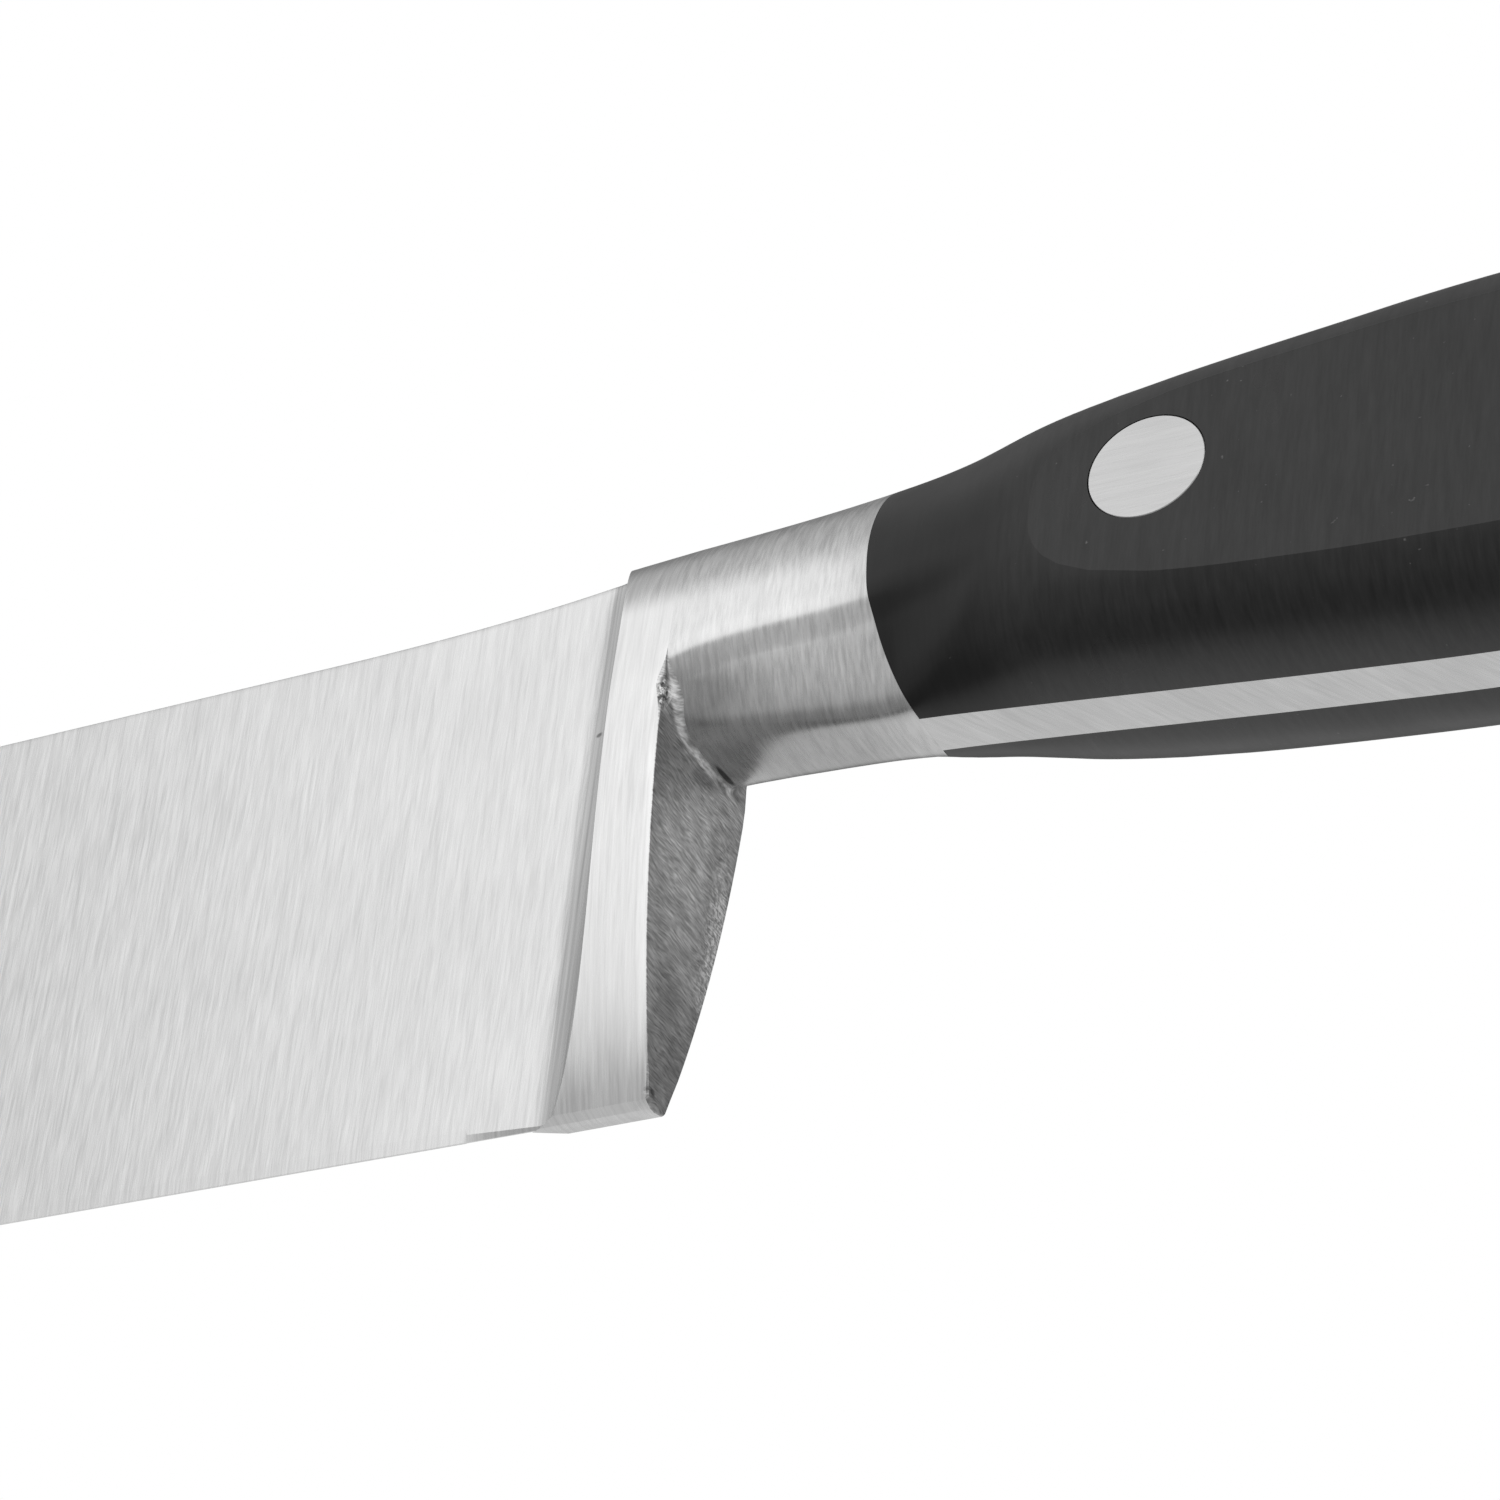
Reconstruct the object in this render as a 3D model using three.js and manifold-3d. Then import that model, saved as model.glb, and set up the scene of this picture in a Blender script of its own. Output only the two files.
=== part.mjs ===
// A forged chef knife: one steel forging (blade, full bolster, collar and full tang), two moulded
// handle scales and three two-piece cutler's rivets.
//
// Millimetres, +Z up. The knife stands on its edge: the tip points to -X, the butt to +X, the left
// face to -Y and the spine to +Z. The origin is under the middle of the overall length, at the heel's
// level. Heights are measured from the heel, lengths from the origin.

import * as THREE from 'three';
import { mergeVertices } from 'three/addons/utils/BufferGeometryUtils.js';
import Module from 'manifold-3d';

const wasm = await Module();
wasm.setup();

// ---- driving dimensions ----

const OVERALL_LENGTH = 331;
const BLADE_LENGTH = 200;

const TIP_X = -OVERALL_LENGTH / 2;
const BUTT_X = OVERALL_LENGTH / 2;
const HEEL_X = TIP_X + BLADE_LENGTH; // foot of the bolster's back face

// Blade: a flat-ground wedge with a small sharpened bevel along its edge.
const SPINE_Z = 41.1; // where the spine is straight
const SPINE_FALL = 0.6; // over the straight stretch, towards the tip
const SPINE_ROOT_Z = 42.6; // where the spine has flared up to the bolster
const FLARE_START_X = 4;
const FLARE_END_X = 27;
const EDGE_HALF = 0.08;
const BEVEL_HEIGHT = 0.9;
const BEVEL_HALF = 0.2;
const WEDGE_SLOPE = 0.036; // half thickness gained per mm of height
const EDGE_RISE = 0.008; // the straight rear of the edge rises by this per mm towards the tip
const STRAIGHT_EDGE_END_X = -40;
const TAPER_START_X = -30; // ahead of this the blade also thins towards its tip
const TIP_TAPER = 0.5; // share of the wedge slope that is gone at the tip
const TIP_Z = 19;
const TIP_HEIGHT = 0.6;
const BLADE_END_X = HEEL_X - 1; // inside the bolster

// The handles of the blade's outline curves: rear and front of its sweep to the tip, and the flare.
const EDGE_REAR_HANDLE_X = -92;
const EDGE_FRONT_HANDLE = { x: -136, z: 3.4 };
const SPINE_REAR_HANDLE = { x: -88, z: 39.9 };
const SPINE_FRONT_HANDLE = { x: -130, z: 35.3 };
const FLARE_HANDLE = { x: 18, z: 41.3 };

// Bolster: a block behind the blade, with a hollow cove on each side of its front.
const COLLAR_HALF_WIDTH = 6.2;
const BOLSTER_FOOT_HALF = 1;
const BACK_LEAN = 0.5; // the back face leans forward by this, from its foot up to the collar
const BOLSTER_FACE_LENGTH = 4.2; // flat side face, between the cove and the back face
const COVE_RADIUS = 6.15;
const COLLAR_X = HEEL_X - BACK_LEAN;
const COVE_END_X = COLLAR_X - BOLSTER_FACE_LENGTH;
const COVE_CENTRE_X = COVE_END_X - COVE_RADIUS;
const BOLSTER_TOP_X = 27.2; // front of the bolster's top, just behind the end of the spine
const BOLSTER_TOP_Z = 43.1;
const BOLSTER_EQUATOR_Z = 35.1;
const BOLSTER_SHOULDER_Z = 30; // below this the bolster narrows to its foot
const BOLSTER_SIDE_HANDLE = { half: 5.7, z: 14 }; // bends that narrowing outwards
const STEP_FOOT_X = 26.4; // foot of the small step from the spine up to the bolster's top

// Handle: the outer surface of collar, scales and tang together, as cross-sections along X.
// Each has its half width, the heights of its top and of its belly, and how square its top and its
// belly are: 2 is half an ellipse, and a larger number has fuller corners.
const HANDLE_SECTIONS = [
  { x: 31, halfWidth: 6.2, top: 43.2, belly: 27.2, topRound: 2.2, bellyRound: 3.4 },
  { x: 41, halfWidth: 6.2, top: 44.1, belly: 26.3, topRound: 2.1, bellyRound: 3 },
  { x: 48, halfWidth: 6.4, top: 45.0, belly: 25.6, topRound: 2, bellyRound: 2.7 },
  { x: 54, halfWidth: 7.4, top: 45.4, belly: 25.1, topRound: 2.1, bellyRound: 2.7 },
  { x: 61, halfWidth: 9.0, top: 45.7, belly: 24.4, topRound: 2.6, bellyRound: 3.2 },
  { x: 69, halfWidth: 9.7, top: 46.4, belly: 23.5, topRound: 2.85, bellyRound: 3.5 },
  { x: 80, halfWidth: 9.85, top: 47.6, belly: 22.3, topRound: 3, bellyRound: 3.65 },
  { x: 92, halfWidth: 9.85, top: 48.9, belly: 21.2, topRound: 3, bellyRound: 3.65 },
  { x: 116, halfWidth: 9.85, top: 49.8, belly: 19.8, topRound: 3, bellyRound: 3.6 },
  { x: 138, halfWidth: 9.85, top: 48.9, belly: 18.2, topRound: 3, bellyRound: 3.4 },
  { x: 153, halfWidth: 9.85, top: 46.8, belly: 17.0, topRound: 2.9, bellyRound: 3.2 },
];
const BUTT_ROUND = 2.6; // how square the butt is: 2 is an ellipse
const BUTT_TILT = 1.4; // the middle of the butt drops by this over its rounding
const BUTT_FLAT_ANGLE = THREE.MathUtils.degToRad(75); // the rounding ends here, in a small flat
const HANDLE_HALF_WIDTH = 9; // the flats of the scales

// Tang and the joint between the collar and the scales.
const TANG_HALF = 1.75;
const SHOULDER_TOP = { x: 48.2, z: 45 };
const SHOULDER_BEND = { x: 47.2, z: 31 };
const SHOULDER_BELLY = { x: 51.4, z: 24.5 };
const SHOULDER_GAP = 0.3;

// Rivets: a head, a tube on the female half, and a pin on the male half that fills the tube.
const RIVET_NAMES = ['front', 'middle', 'rear'];
const FIRST_RIVET_X = 69;
const FIRST_RIVET_Z = 35.8;
const RIVET_SPACING = 33;
const RIVET_LINE_SLOPE = -0.023;
const HEAD_RADIUS = 4;
const HEAD_LENGTH = 4.5;
const TUBE_RADIUS = 2.6;
const TUBE_END_Y = 2.6;
const PIN_RADIUS = 1.6;
const PIN_END_Y = -3.6;
const BORE_END_Y = -4.2;
const CLEARANCE = 0.05;

// Resolution.
const RING_POINTS = 28;
const HANDLE_STEPS = 20;
const BUTT_STEPS = 5;
const BLADE_STEPS = 24;
const CURVE_STEPS = 10;
const RIVET_SIDES = 20;
const COVE_SIDES = 64;

// Cutting shapes: one that is larger than the knife, and how far a small one reaches past its work.
const FAR = 300;
const OVERCUT = 1;

// ---- solids ----

function toSolid(geometry) {
  const bare = geometry.clone();
  bare.deleteAttribute('normal');
  bare.deleteAttribute('uv');
  const merged = mergeVertices(bare, 1e-4);
  return new wasm.Manifold(new wasm.Mesh({
    numProp: 3,
    vertProperties: new Float32Array(merged.attributes.position.array),
    triVerts: new Uint32Array(merged.index.array),
  }));
}

function toGeometry(solid) {
  const mesh = solid.getMesh();
  const geometry = new THREE.BufferGeometry();
  geometry.setAttribute('position', new THREE.BufferAttribute(mesh.vertProperties, 3));
  geometry.setIndex(new THREE.BufferAttribute(mesh.triVerts, 1));
  geometry.computeVertexNormals();
  return geometry;
}

// Moves every vertex of a geometry to place(x, y, z).
function reshape(geometry, place) {
  const position = geometry.attributes.position;
  for (let i = 0; i < position.count; i += 1) {
    const point = place(position.getX(i), position.getY(i), position.getZ(i));
    position.setXYZ(i, point.x, point.y, point.z);
  }
  return geometry;
}

// Extrudes a shape drawn in (x, z) across the whole width of the knife.
function acrossWidth(shape) {
  const geometry = new THREE.ExtrudeGeometry(shape, {
    depth: FAR, bevelEnabled: false, curveSegments: CURVE_STEPS,
  });
  geometry.translate(0, 0, -FAR / 2);
  geometry.rotateX(Math.PI / 2);
  return toSolid(geometry);
}

// Extrudes a shape drawn in (y, z) along the knife, from startX to endX.
function alongLength(shape, startX, endX) {
  const geometry = new THREE.ExtrudeGeometry(shape, {
    depth: endX - startX, bevelEnabled: false, curveSegments: CURVE_STEPS,
  });
  return toSolid(reshape(geometry, (x, y, z) => new THREE.Vector3(startX + z, x, y)));
}

// A slab of everything between two planes across the knife's width.
function slab(lowY, highY) {
  const geometry = new THREE.BoxGeometry(2 * FAR, highY - lowY, 2 * FAR);
  geometry.translate(0, (lowY + highY) / 2, 0);
  return toSolid(geometry);
}

// ---- blade ----

function straightEdgeZ(x) {
  return EDGE_RISE * (HEEL_X - x);
}

// The edge, from the heel to the tip: straight, then sweeping up.
function edgeCurve() {
  const curve = new THREE.CurvePath();
  const bend = new THREE.Vector2(STRAIGHT_EDGE_END_X, straightEdgeZ(STRAIGHT_EDGE_END_X));
  curve.add(new THREE.LineCurve(new THREE.Vector2(BLADE_END_X, straightEdgeZ(BLADE_END_X)), bend));
  curve.add(new THREE.CubicBezierCurve(
    bend,
    new THREE.Vector2(EDGE_REAR_HANDLE_X, straightEdgeZ(EDGE_REAR_HANDLE_X)),
    new THREE.Vector2(EDGE_FRONT_HANDLE.x, EDGE_FRONT_HANDLE.z),
    new THREE.Vector2(TIP_X, TIP_Z - TIP_HEIGHT),
  ));
  return curve;
}

// The spine, from inside the bolster to the tip: a flare down from the bolster, a straight stretch,
// then the fall to the tip.
function spineCurve() {
  const curve = new THREE.CurvePath();
  const root = new THREE.Vector2(FLARE_END_X, SPINE_ROOT_Z);
  const flareStart = new THREE.Vector2(FLARE_START_X, SPINE_Z);
  const bend = new THREE.Vector2(STRAIGHT_EDGE_END_X, SPINE_Z - SPINE_FALL);
  curve.add(new THREE.LineCurve(new THREE.Vector2(BLADE_END_X, SPINE_ROOT_Z), root));
  curve.add(new THREE.QuadraticBezierCurve(
    root,
    new THREE.Vector2(FLARE_HANDLE.x, FLARE_HANDLE.z),
    flareStart,
  ));
  curve.add(new THREE.LineCurve(flareStart, bend));
  curve.add(new THREE.CubicBezierCurve(
    bend,
    new THREE.Vector2(SPINE_REAR_HANDLE.x, SPINE_REAR_HANDLE.z),
    new THREE.Vector2(SPINE_FRONT_HANDLE.x, SPINE_FRONT_HANDLE.z),
    new THREE.Vector2(TIP_X, TIP_Z),
  ));
  return curve;
}

function wedgeSlope(x) {
  const along = THREE.MathUtils.clamp((TAPER_START_X - x) / (TAPER_START_X - TIP_X), 0, 1);
  return WEDGE_SLOPE * (1 - TIP_TAPER * along);
}

// Half the blade's thickness at a height above the edge.
function bladeHalf(x, aboveEdge) {
  return BEVEL_HALF + wedgeSlope(x) * (aboveEdge - BEVEL_HEIGHT);
}

// A box whose rows of vertices are moved to the edge, the top of its bevel and the spine.
function blade() {
  const edge = edgeCurve();
  const spine = spineCurve();
  const box = new THREE.BoxGeometry(1, 1, 1, BLADE_STEPS, 1, 2);
  return toSolid(reshape(box, (x, y, z) => {
    const along = 0.5 - x;
    const low = edge.getPoint(along);
    const high = spine.getPoint(along);
    const side = Math.sign(y);
    const row = Math.round(2 * z);
    if (row < 0) return new THREE.Vector3(low.x, side * EDGE_HALF, low.y);
    if (row === 0) {
      const rise = Math.min(BEVEL_HEIGHT, (high.y - low.y) / 2);
      return new THREE.Vector3(low.x, side * BEVEL_HALF, low.y + rise);
    }
    return new THREE.Vector3(high.x, side * bladeHalf(high.x, high.y - edgeZBelow(high, low)), high.y);
  }));
}

// The height of the edge under a point of the spine. Where the edge is straight, it is the edge's own
// line, so that the blade's sides are exactly flat there.
function edgeZBelow(high, low) {
  return high.x > STRAIGHT_EDGE_END_X ? straightEdgeZ(high.x) : low.y;
}

// ---- bolster ----

// The bolster seen from the front: thin at its foot, as wide as the collar at its top.
function bolsterFront() {
  const handle = BOLSTER_SIDE_HANDLE;
  const shape = new THREE.Shape();
  shape.moveTo(BOLSTER_FOOT_HALF, 0);
  shape.quadraticCurveTo(handle.half, handle.z, COLLAR_HALF_WIDTH, BOLSTER_SHOULDER_Z);
  shape.lineTo(COLLAR_HALF_WIDTH, BOLSTER_EQUATOR_Z);
  shape.absellipse(0, BOLSTER_EQUATOR_Z, COLLAR_HALF_WIDTH, BOLSTER_TOP_Z - BOLSTER_EQUATOR_Z, 0, Math.PI);
  shape.lineTo(-COLLAR_HALF_WIDTH, BOLSTER_SHOULDER_Z);
  shape.quadraticCurveTo(-handle.half, handle.z, -BOLSTER_FOOT_HALF, 0);
  return shape;
}

// The bolster seen from the side: its back face leans forward, and its top steps down to the spine.
function bolsterSide() {
  const shape = new THREE.Shape();
  shape.moveTo(COVE_CENTRE_X, 0);
  shape.lineTo(HEEL_X, 0);
  shape.lineTo(COLLAR_X, BOLSTER_SHOULDER_Z);
  shape.lineTo(COLLAR_X, BOLSTER_TOP_Z + OVERCUT);
  shape.lineTo(BOLSTER_TOP_X, BOLSTER_TOP_Z);
  shape.lineTo(STEP_FOOT_X, SPINE_ROOT_Z);
  shape.lineTo(COVE_CENTRE_X, SPINE_Z);
  return shape;
}

function cove(side) {
  const geometry = new THREE.CylinderGeometry(COVE_RADIUS, COVE_RADIUS, FAR, COVE_SIDES);
  geometry.rotateX(Math.PI / 2);
  geometry.translate(COVE_CENTRE_X, side * COLLAR_HALF_WIDTH, 0);
  return toSolid(geometry);
}

function bolster() {
  return alongLength(bolsterFront(), COVE_CENTRE_X, HEEL_X)
    .intersect(acrossWidth(bolsterSide()))
    .subtract(cove(-1))
    .subtract(cove(1));
}

// ---- handle ----

// Interpolates one size of the handle's sections, smoothly, at a share of the way along them.
function handleLine(size) {
  const points = HANDLE_SECTIONS.map((section) => new THREE.Vector2(section.x, section[size]));
  const spline = new THREE.SplineCurve(points);
  return (along) => spline.getPoint(along);
}

// Every cross-section of the handle, from the collar's front to the butt.
function handleStations() {
  const halfWidth = handleLine('halfWidth');
  const top = handleLine('top');
  const belly = handleLine('belly');
  const topRound = handleLine('topRound');
  const bellyRound = handleLine('bellyRound');
  const stations = [];
  for (let i = 0; i <= HANDLE_STEPS; i += 1) {
    const along = i / HANDLE_STEPS;
    stations.push({
      x: top(along).x,
      halfWidth: halfWidth(along).y,
      middle: (top(along).y + belly(along).y) / 2,
      halfHeight: (top(along).y - belly(along).y) / 2,
      topRound: topRound(along).y,
      bellyRound: bellyRound(along).y,
    });
  }
  const last = stations[stations.length - 1];
  const reach = Math.sin(BUTT_FLAT_ANGLE) ** (2 / BUTT_ROUND);
  for (let i = 1; i <= BUTT_STEPS; i += 1) {
    const angle = (i / BUTT_STEPS) * BUTT_FLAT_ANGLE;
    const forward = Math.sin(angle) ** (2 / BUTT_ROUND) / reach;
    const closing = Math.cos(angle) ** (2 / BUTT_ROUND);
    stations.push({
      ...last,
      x: THREE.MathUtils.lerp(last.x, BUTT_X, forward),
      halfWidth: last.halfWidth * closing,
      middle: last.middle - BUTT_TILT * forward,
      halfHeight: last.halfHeight * closing,
    });
  }
  return stations;
}

// Where a superellipse of half sizes a and b is met at an angle.
function superellipse(angle, a, b, round) {
  const c = Math.cos(angle);
  const s = Math.sin(angle);
  return {
    across: a * Math.sign(c) * Math.abs(c) ** (2 / round),
    up: b * Math.sign(s) * Math.abs(s) ** (2 / round),
  };
}

// The outer surface of collar, scales and tang together.
function handleEnvelope() {
  const stations = handleStations();
  const tube = new THREE.CylinderGeometry(1, 1, 1, RING_POINTS, stations.length - 1);
  return toSolid(reshape(tube, (x, y, z) => {
    const station = stations[Math.round((y + 0.5) * (stations.length - 1))];
    const centre = new THREE.Vector3(station.x, 0, station.middle);
    const isMiddleOfAnEnd = Math.hypot(x, z) < 0.5;
    if (isMiddleOfAnEnd) return centre;
    const angle = Math.atan2(x, z);
    const round = x > 0 ? station.topRound : station.bellyRound;
    const point = superellipse(angle, station.halfWidth, station.halfHeight, round);
    const across = THREE.MathUtils.clamp(point.across, -HANDLE_HALF_WIDTH, HANDLE_HALF_WIDTH);
    return centre.add(new THREE.Vector3(0, across, point.up));
  }));
}

// Everything behind the shoulder where the scales meet the collar, moved back by a gap.
function behindShoulder(gap) {
  const shape = new THREE.Shape();
  shape.moveTo(SHOULDER_TOP.x + gap, FAR);
  shape.lineTo(SHOULDER_TOP.x + gap, SHOULDER_TOP.z);
  shape.quadraticCurveTo(SHOULDER_BEND.x + gap, SHOULDER_BEND.z, SHOULDER_BELLY.x + gap, SHOULDER_BELLY.z);
  shape.lineTo(SHOULDER_BELLY.x + gap, 0);
  shape.lineTo(FAR, 0);
  shape.lineTo(FAR, FAR);
  return acrossWidth(shape);
}

// ---- rivets ----

function rivetPlace(index) {
  const along = index * RIVET_SPACING;
  return { x: FIRST_RIVET_X + along, z: FIRST_RIVET_Z + RIVET_LINE_SLOPE * along };
}

// A solid of revolution about Y, from its closed outline of [radius, y] points.
function turned(outline) {
  const points = outline.map(([radius, y]) => new THREE.Vector2(radius, y));
  return new THREE.LatheGeometry(points, RIVET_SIDES);
}

function femaleRivet() {
  return turned([
    [0, -HANDLE_HALF_WIDTH],
    [HEAD_RADIUS, -HANDLE_HALF_WIDTH],
    [HEAD_RADIUS, -HANDLE_HALF_WIDTH + HEAD_LENGTH],
    [TUBE_RADIUS, -HANDLE_HALF_WIDTH + HEAD_LENGTH],
    [TUBE_RADIUS, TUBE_END_Y],
    [PIN_RADIUS + CLEARANCE, TUBE_END_Y],
    [PIN_RADIUS + CLEARANCE, BORE_END_Y],
    [0, BORE_END_Y],
  ]);
}

function maleRivet() {
  return turned([
    [0, PIN_END_Y],
    [PIN_RADIUS, PIN_END_Y],
    [PIN_RADIUS, HANDLE_HALF_WIDTH - HEAD_LENGTH],
    [HEAD_RADIUS, HANDLE_HALF_WIDTH - HEAD_LENGTH],
    [HEAD_RADIUS, HANDLE_HALF_WIDTH],
    [0, HANDLE_HALF_WIDTH],
  ]);
}

// The stepped hole for one rivet: a narrow bore through, and a wider seat for each head.
function rivetHole(index) {
  const seat = HANDLE_HALF_WIDTH - HEAD_LENGTH - CLEARANCE;
  const wide = HEAD_RADIUS + CLEARANCE;
  const narrow = TUBE_RADIUS + CLEARANCE;
  const outside = HANDLE_HALF_WIDTH + OVERCUT;
  const geometry = turned([
    [0, -outside],
    [wide, -outside],
    [wide, -seat],
    [narrow, -seat],
    [narrow, seat],
    [wide, seat],
    [wide, outside],
    [0, outside],
  ]);
  const place = rivetPlace(index);
  geometry.translate(place.x, 0, place.z);
  return toSolid(geometry);
}

function drilled(solid) {
  return RIVET_NAMES.reduce((left, name, index) => left.subtract(rivetHole(index)), solid);
}

// ---- the separate pieces ----

function forging() {
  const scaleSpace = behindShoulder(0).subtract(slab(-TANG_HALF, TANG_HALF));
  const collarAndTang = drilled(handleEnvelope().subtract(scaleSpace));
  return toGeometry(blade().add(bolster()).add(collarAndTang));
}

function scale(side) {
  const half = side < 0 ? slab(-FAR, -TANG_HALF) : slab(TANG_HALF, FAR);
  const blank = handleEnvelope().intersect(behindShoulder(SHOULDER_GAP)).intersect(half);
  return toGeometry(drilled(blank));
}

function piece(name, geometry, material) {
  const mesh = new THREE.Mesh(geometry, material);
  mesh.name = name;
  return mesh;
}

const bladeSteel = new THREE.MeshStandardMaterial({ color: 0xc4c6c8, roughness: 0.38, metalness: 1 });
const blackPlastic = new THREE.MeshStandardMaterial({ color: 0x1b1b1c, roughness: 0.45, metalness: 0 });
const rivetSteel = new THREE.MeshStandardMaterial({ color: 0xc9cacc, roughness: 0.35, metalness: 1 });

const knife = new THREE.Group();
knife.add(piece('forged_blade', forging(), bladeSteel));
knife.add(piece('handle_scale_left', scale(-1), blackPlastic));
knife.add(piece('handle_scale_right', scale(1), blackPlastic));

RIVET_NAMES.forEach((name, index) => {
  const place = rivetPlace(index);
  const rivet = new THREE.Group();
  rivet.position.set(place.x, 0, place.z);
  rivet.add(piece(`rivet_${name}_female`, femaleRivet(), rivetSteel));
  rivet.add(piece(`rivet_${name}_male`, maleRivet(), rivetSteel));
  knife.add(rivet);
});

export default knife;
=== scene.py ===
"""The looks of a forged chef knife: a steel forging, two black handle scales and three rivets.

Lengths are in millimetres until a mesh is made. The knife stands on its edge: the tip points to -X,
the butt to +X, the left face to -Y and the spine to +Z.
"""

import math

import bmesh
import bpy
import numpy as np
from mathutils import Matrix, Vector


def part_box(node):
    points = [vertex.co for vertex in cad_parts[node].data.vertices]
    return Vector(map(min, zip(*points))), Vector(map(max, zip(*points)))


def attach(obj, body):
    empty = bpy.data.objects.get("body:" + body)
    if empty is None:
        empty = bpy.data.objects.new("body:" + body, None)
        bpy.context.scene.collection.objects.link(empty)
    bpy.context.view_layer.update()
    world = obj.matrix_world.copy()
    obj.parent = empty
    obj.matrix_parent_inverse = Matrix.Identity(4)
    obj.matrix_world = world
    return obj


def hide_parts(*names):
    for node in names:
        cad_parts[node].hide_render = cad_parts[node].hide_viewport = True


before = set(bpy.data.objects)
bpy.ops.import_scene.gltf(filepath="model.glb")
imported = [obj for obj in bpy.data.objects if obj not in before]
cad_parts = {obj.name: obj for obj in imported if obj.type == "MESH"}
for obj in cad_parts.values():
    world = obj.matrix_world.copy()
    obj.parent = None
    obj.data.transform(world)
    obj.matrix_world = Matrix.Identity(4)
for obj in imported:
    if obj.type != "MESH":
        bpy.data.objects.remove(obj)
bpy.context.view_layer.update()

MM = 0.001

# ---- places, from the frame ----

KNIFE_LOW, KNIFE_HIGH = [[value / MM for value in corner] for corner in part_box("forged_blade")]
BLADE_LENGTH = 200.0
TIP_X = KNIFE_LOW[0]
BUTT_X = KNIFE_HIGH[0]
HEEL_X = TIP_X + BLADE_LENGTH
RIVET_NAMES = ["front", "middle", "rear"]


def rivet_centre(name):
    low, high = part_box(f"rivet_{name}_female")
    return (low[0] + high[0]) / 2 / MM, (low[2] + high[2]) / 2 / MM


# ---- sizes of the blade ----

SPINE_Z = 41.1              # where the flare towards the bolster starts
SPINE_ROOT_Z = 42.6
SPINE_DROP = 0.6            # how much lower the spine is above the end of the straight edge
FLARE_START_X = 4.0
FLARE_END_X = 27.0
FLARE_HANDLE = (18.0, 41.3)
STRAIGHT_EDGE_END_X = -40.0
EDGE_RISE = 0.008
EDGE_HALF = 0.08
BEVEL_HEIGHT = 0.9
BEVEL_HALF = 0.2
BEVEL_END_X = 20.6          # the sharpened bevel stops short of the heel
BEVEL_RUNOUT = 0.15
BEVEL_END_MARGINS = (0.25, 0.8)   # how far other stations stay from it, in front and behind
PLAIN_EDGE_HALF = 0.04
PLAIN_EDGE_RISE = 0.5
WEDGE_SLOPE = 0.036
TAPER_START_X = -30.0
TIP_TAPER = 0.5
TIP_Z = 19.0
TIP_HEIGHT = 0.6
ARRIS_RADIUS = 0.22
# control points of the curves towards the tip
EDGE_REAR_HANDLE_X = -92.0
EDGE_FRONT_HANDLE = (-136.0, 3.4)
SPINE_REAR_HANDLE = (-88.0, 39.9)
SPINE_FRONT_HANDLE = (-130.0, 35.3)

# ---- sizes of the bolster ----

COLLAR_HALF = 6.2
BOLSTER_TOP_X = 27.2
BOLSTER_TOP_Z = 43.15
EQUATOR_Z = 35.1            # the bolster is widest from here down to its shoulder
SHOULDER_Z = 30.0
BACK_LEAN = 0.5
COLLAR_X = HEEL_X - BACK_LEAN
FOOT = [(0, 0), (0.25, 0)]  # half the foot's flat underside
FOOT_Z = 0.2                # top of the chamfer along the foot
FOOT_CHAMFER = (1, 2)       # the points of a half ring at the chamfer's two edges
HEEL_HALF = 1.0             # half the bolster's width at its foot, before the chamfer
PROFILE_PULL = (5.7, 14.0)
COVE_START_X = 26.1
COVE_RADIUS = 6.5
COVE_CENTRE_X = 23.55
COVE_ANGLES = (math.radians(9), math.radians(78))
ROOT_FILLET_BELLY = 0.5     # fillet between back face and collar, under the belly
ROOT_FILLET_SIDE = 0.9      # and at its upper end, on the collar's side
ROOT_FILLET_HEIGHTS = (26.9, 29.2)
ROOT_FILLET_SHARE = 0.55    # the share of the overhang that the fillet may take
BACK_EDGE_TOP = 0.05        # rounding of the back edge over most of its height
BACK_EDGE_FOOT = 0.35       # and at its foot
BACK_EDGE_REACH = 3.5       # the larger rounding fades out up to this height
BACK_EDGE_ROOT = 0.5        # rounding beside the collar's side
BACK_EDGE_SHARE = 0.4       # the share of the overhang that the rounding may take

# ---- sizes of the handle ----

TANG_HALF = 1.75
FLAT_HALF = 9.0
HANDLE_SECTIONS = [
    # x, half width, top, belly, squareness of the top, squareness of the belly
    (31, 6.2, 43.2, 27.2, 2.2, 3.4),
    (41, 6.2, 44.1, 26.3, 2.1, 3.0),
    (48, 6.4, 45.0, 25.6, 2.0, 2.7),
    (54, 7.4, 45.4, 25.1, 2.1, 2.7),
    (61, 9.0, 45.7, 24.4, 2.6, 3.2),
    (69, 9.7, 46.4, 23.5, 2.85, 3.5),
    (80, 9.85, 47.6, 22.3, 3.0, 3.65),
    (92, 9.85, 48.9, 21.2, 3.0, 3.65),
    (116, 9.85, 49.8, 19.8, 3.0, 3.6),
    (138, 9.85, 48.9, 18.2, 3.0, 3.4),
    (153, 9.85, 46.8, 17.0, 2.9, 3.2),
]
BUTT_START_X = HANDLE_SECTIONS[-1][0]
BUTT_ROUND = 2.6
BUTT_TILT = 1.4
BUTT_CAP = 0.5              # the height of the tang's end face, as a share of the ring before it
JOINT_TOP = (48.2, 45.0)
JOINT_BEND = (47.2, 31.0)
JOINT_BELLY = (51.4, 24.5)
JOINT_GAP = 0.03
COLLAR_FLAT = 0.2           # how much wider the collar's curve is than its flat side
COLLAR_FACET_SLOPE = 0.46   # below its flat side the collar has a facet that leans in
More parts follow.
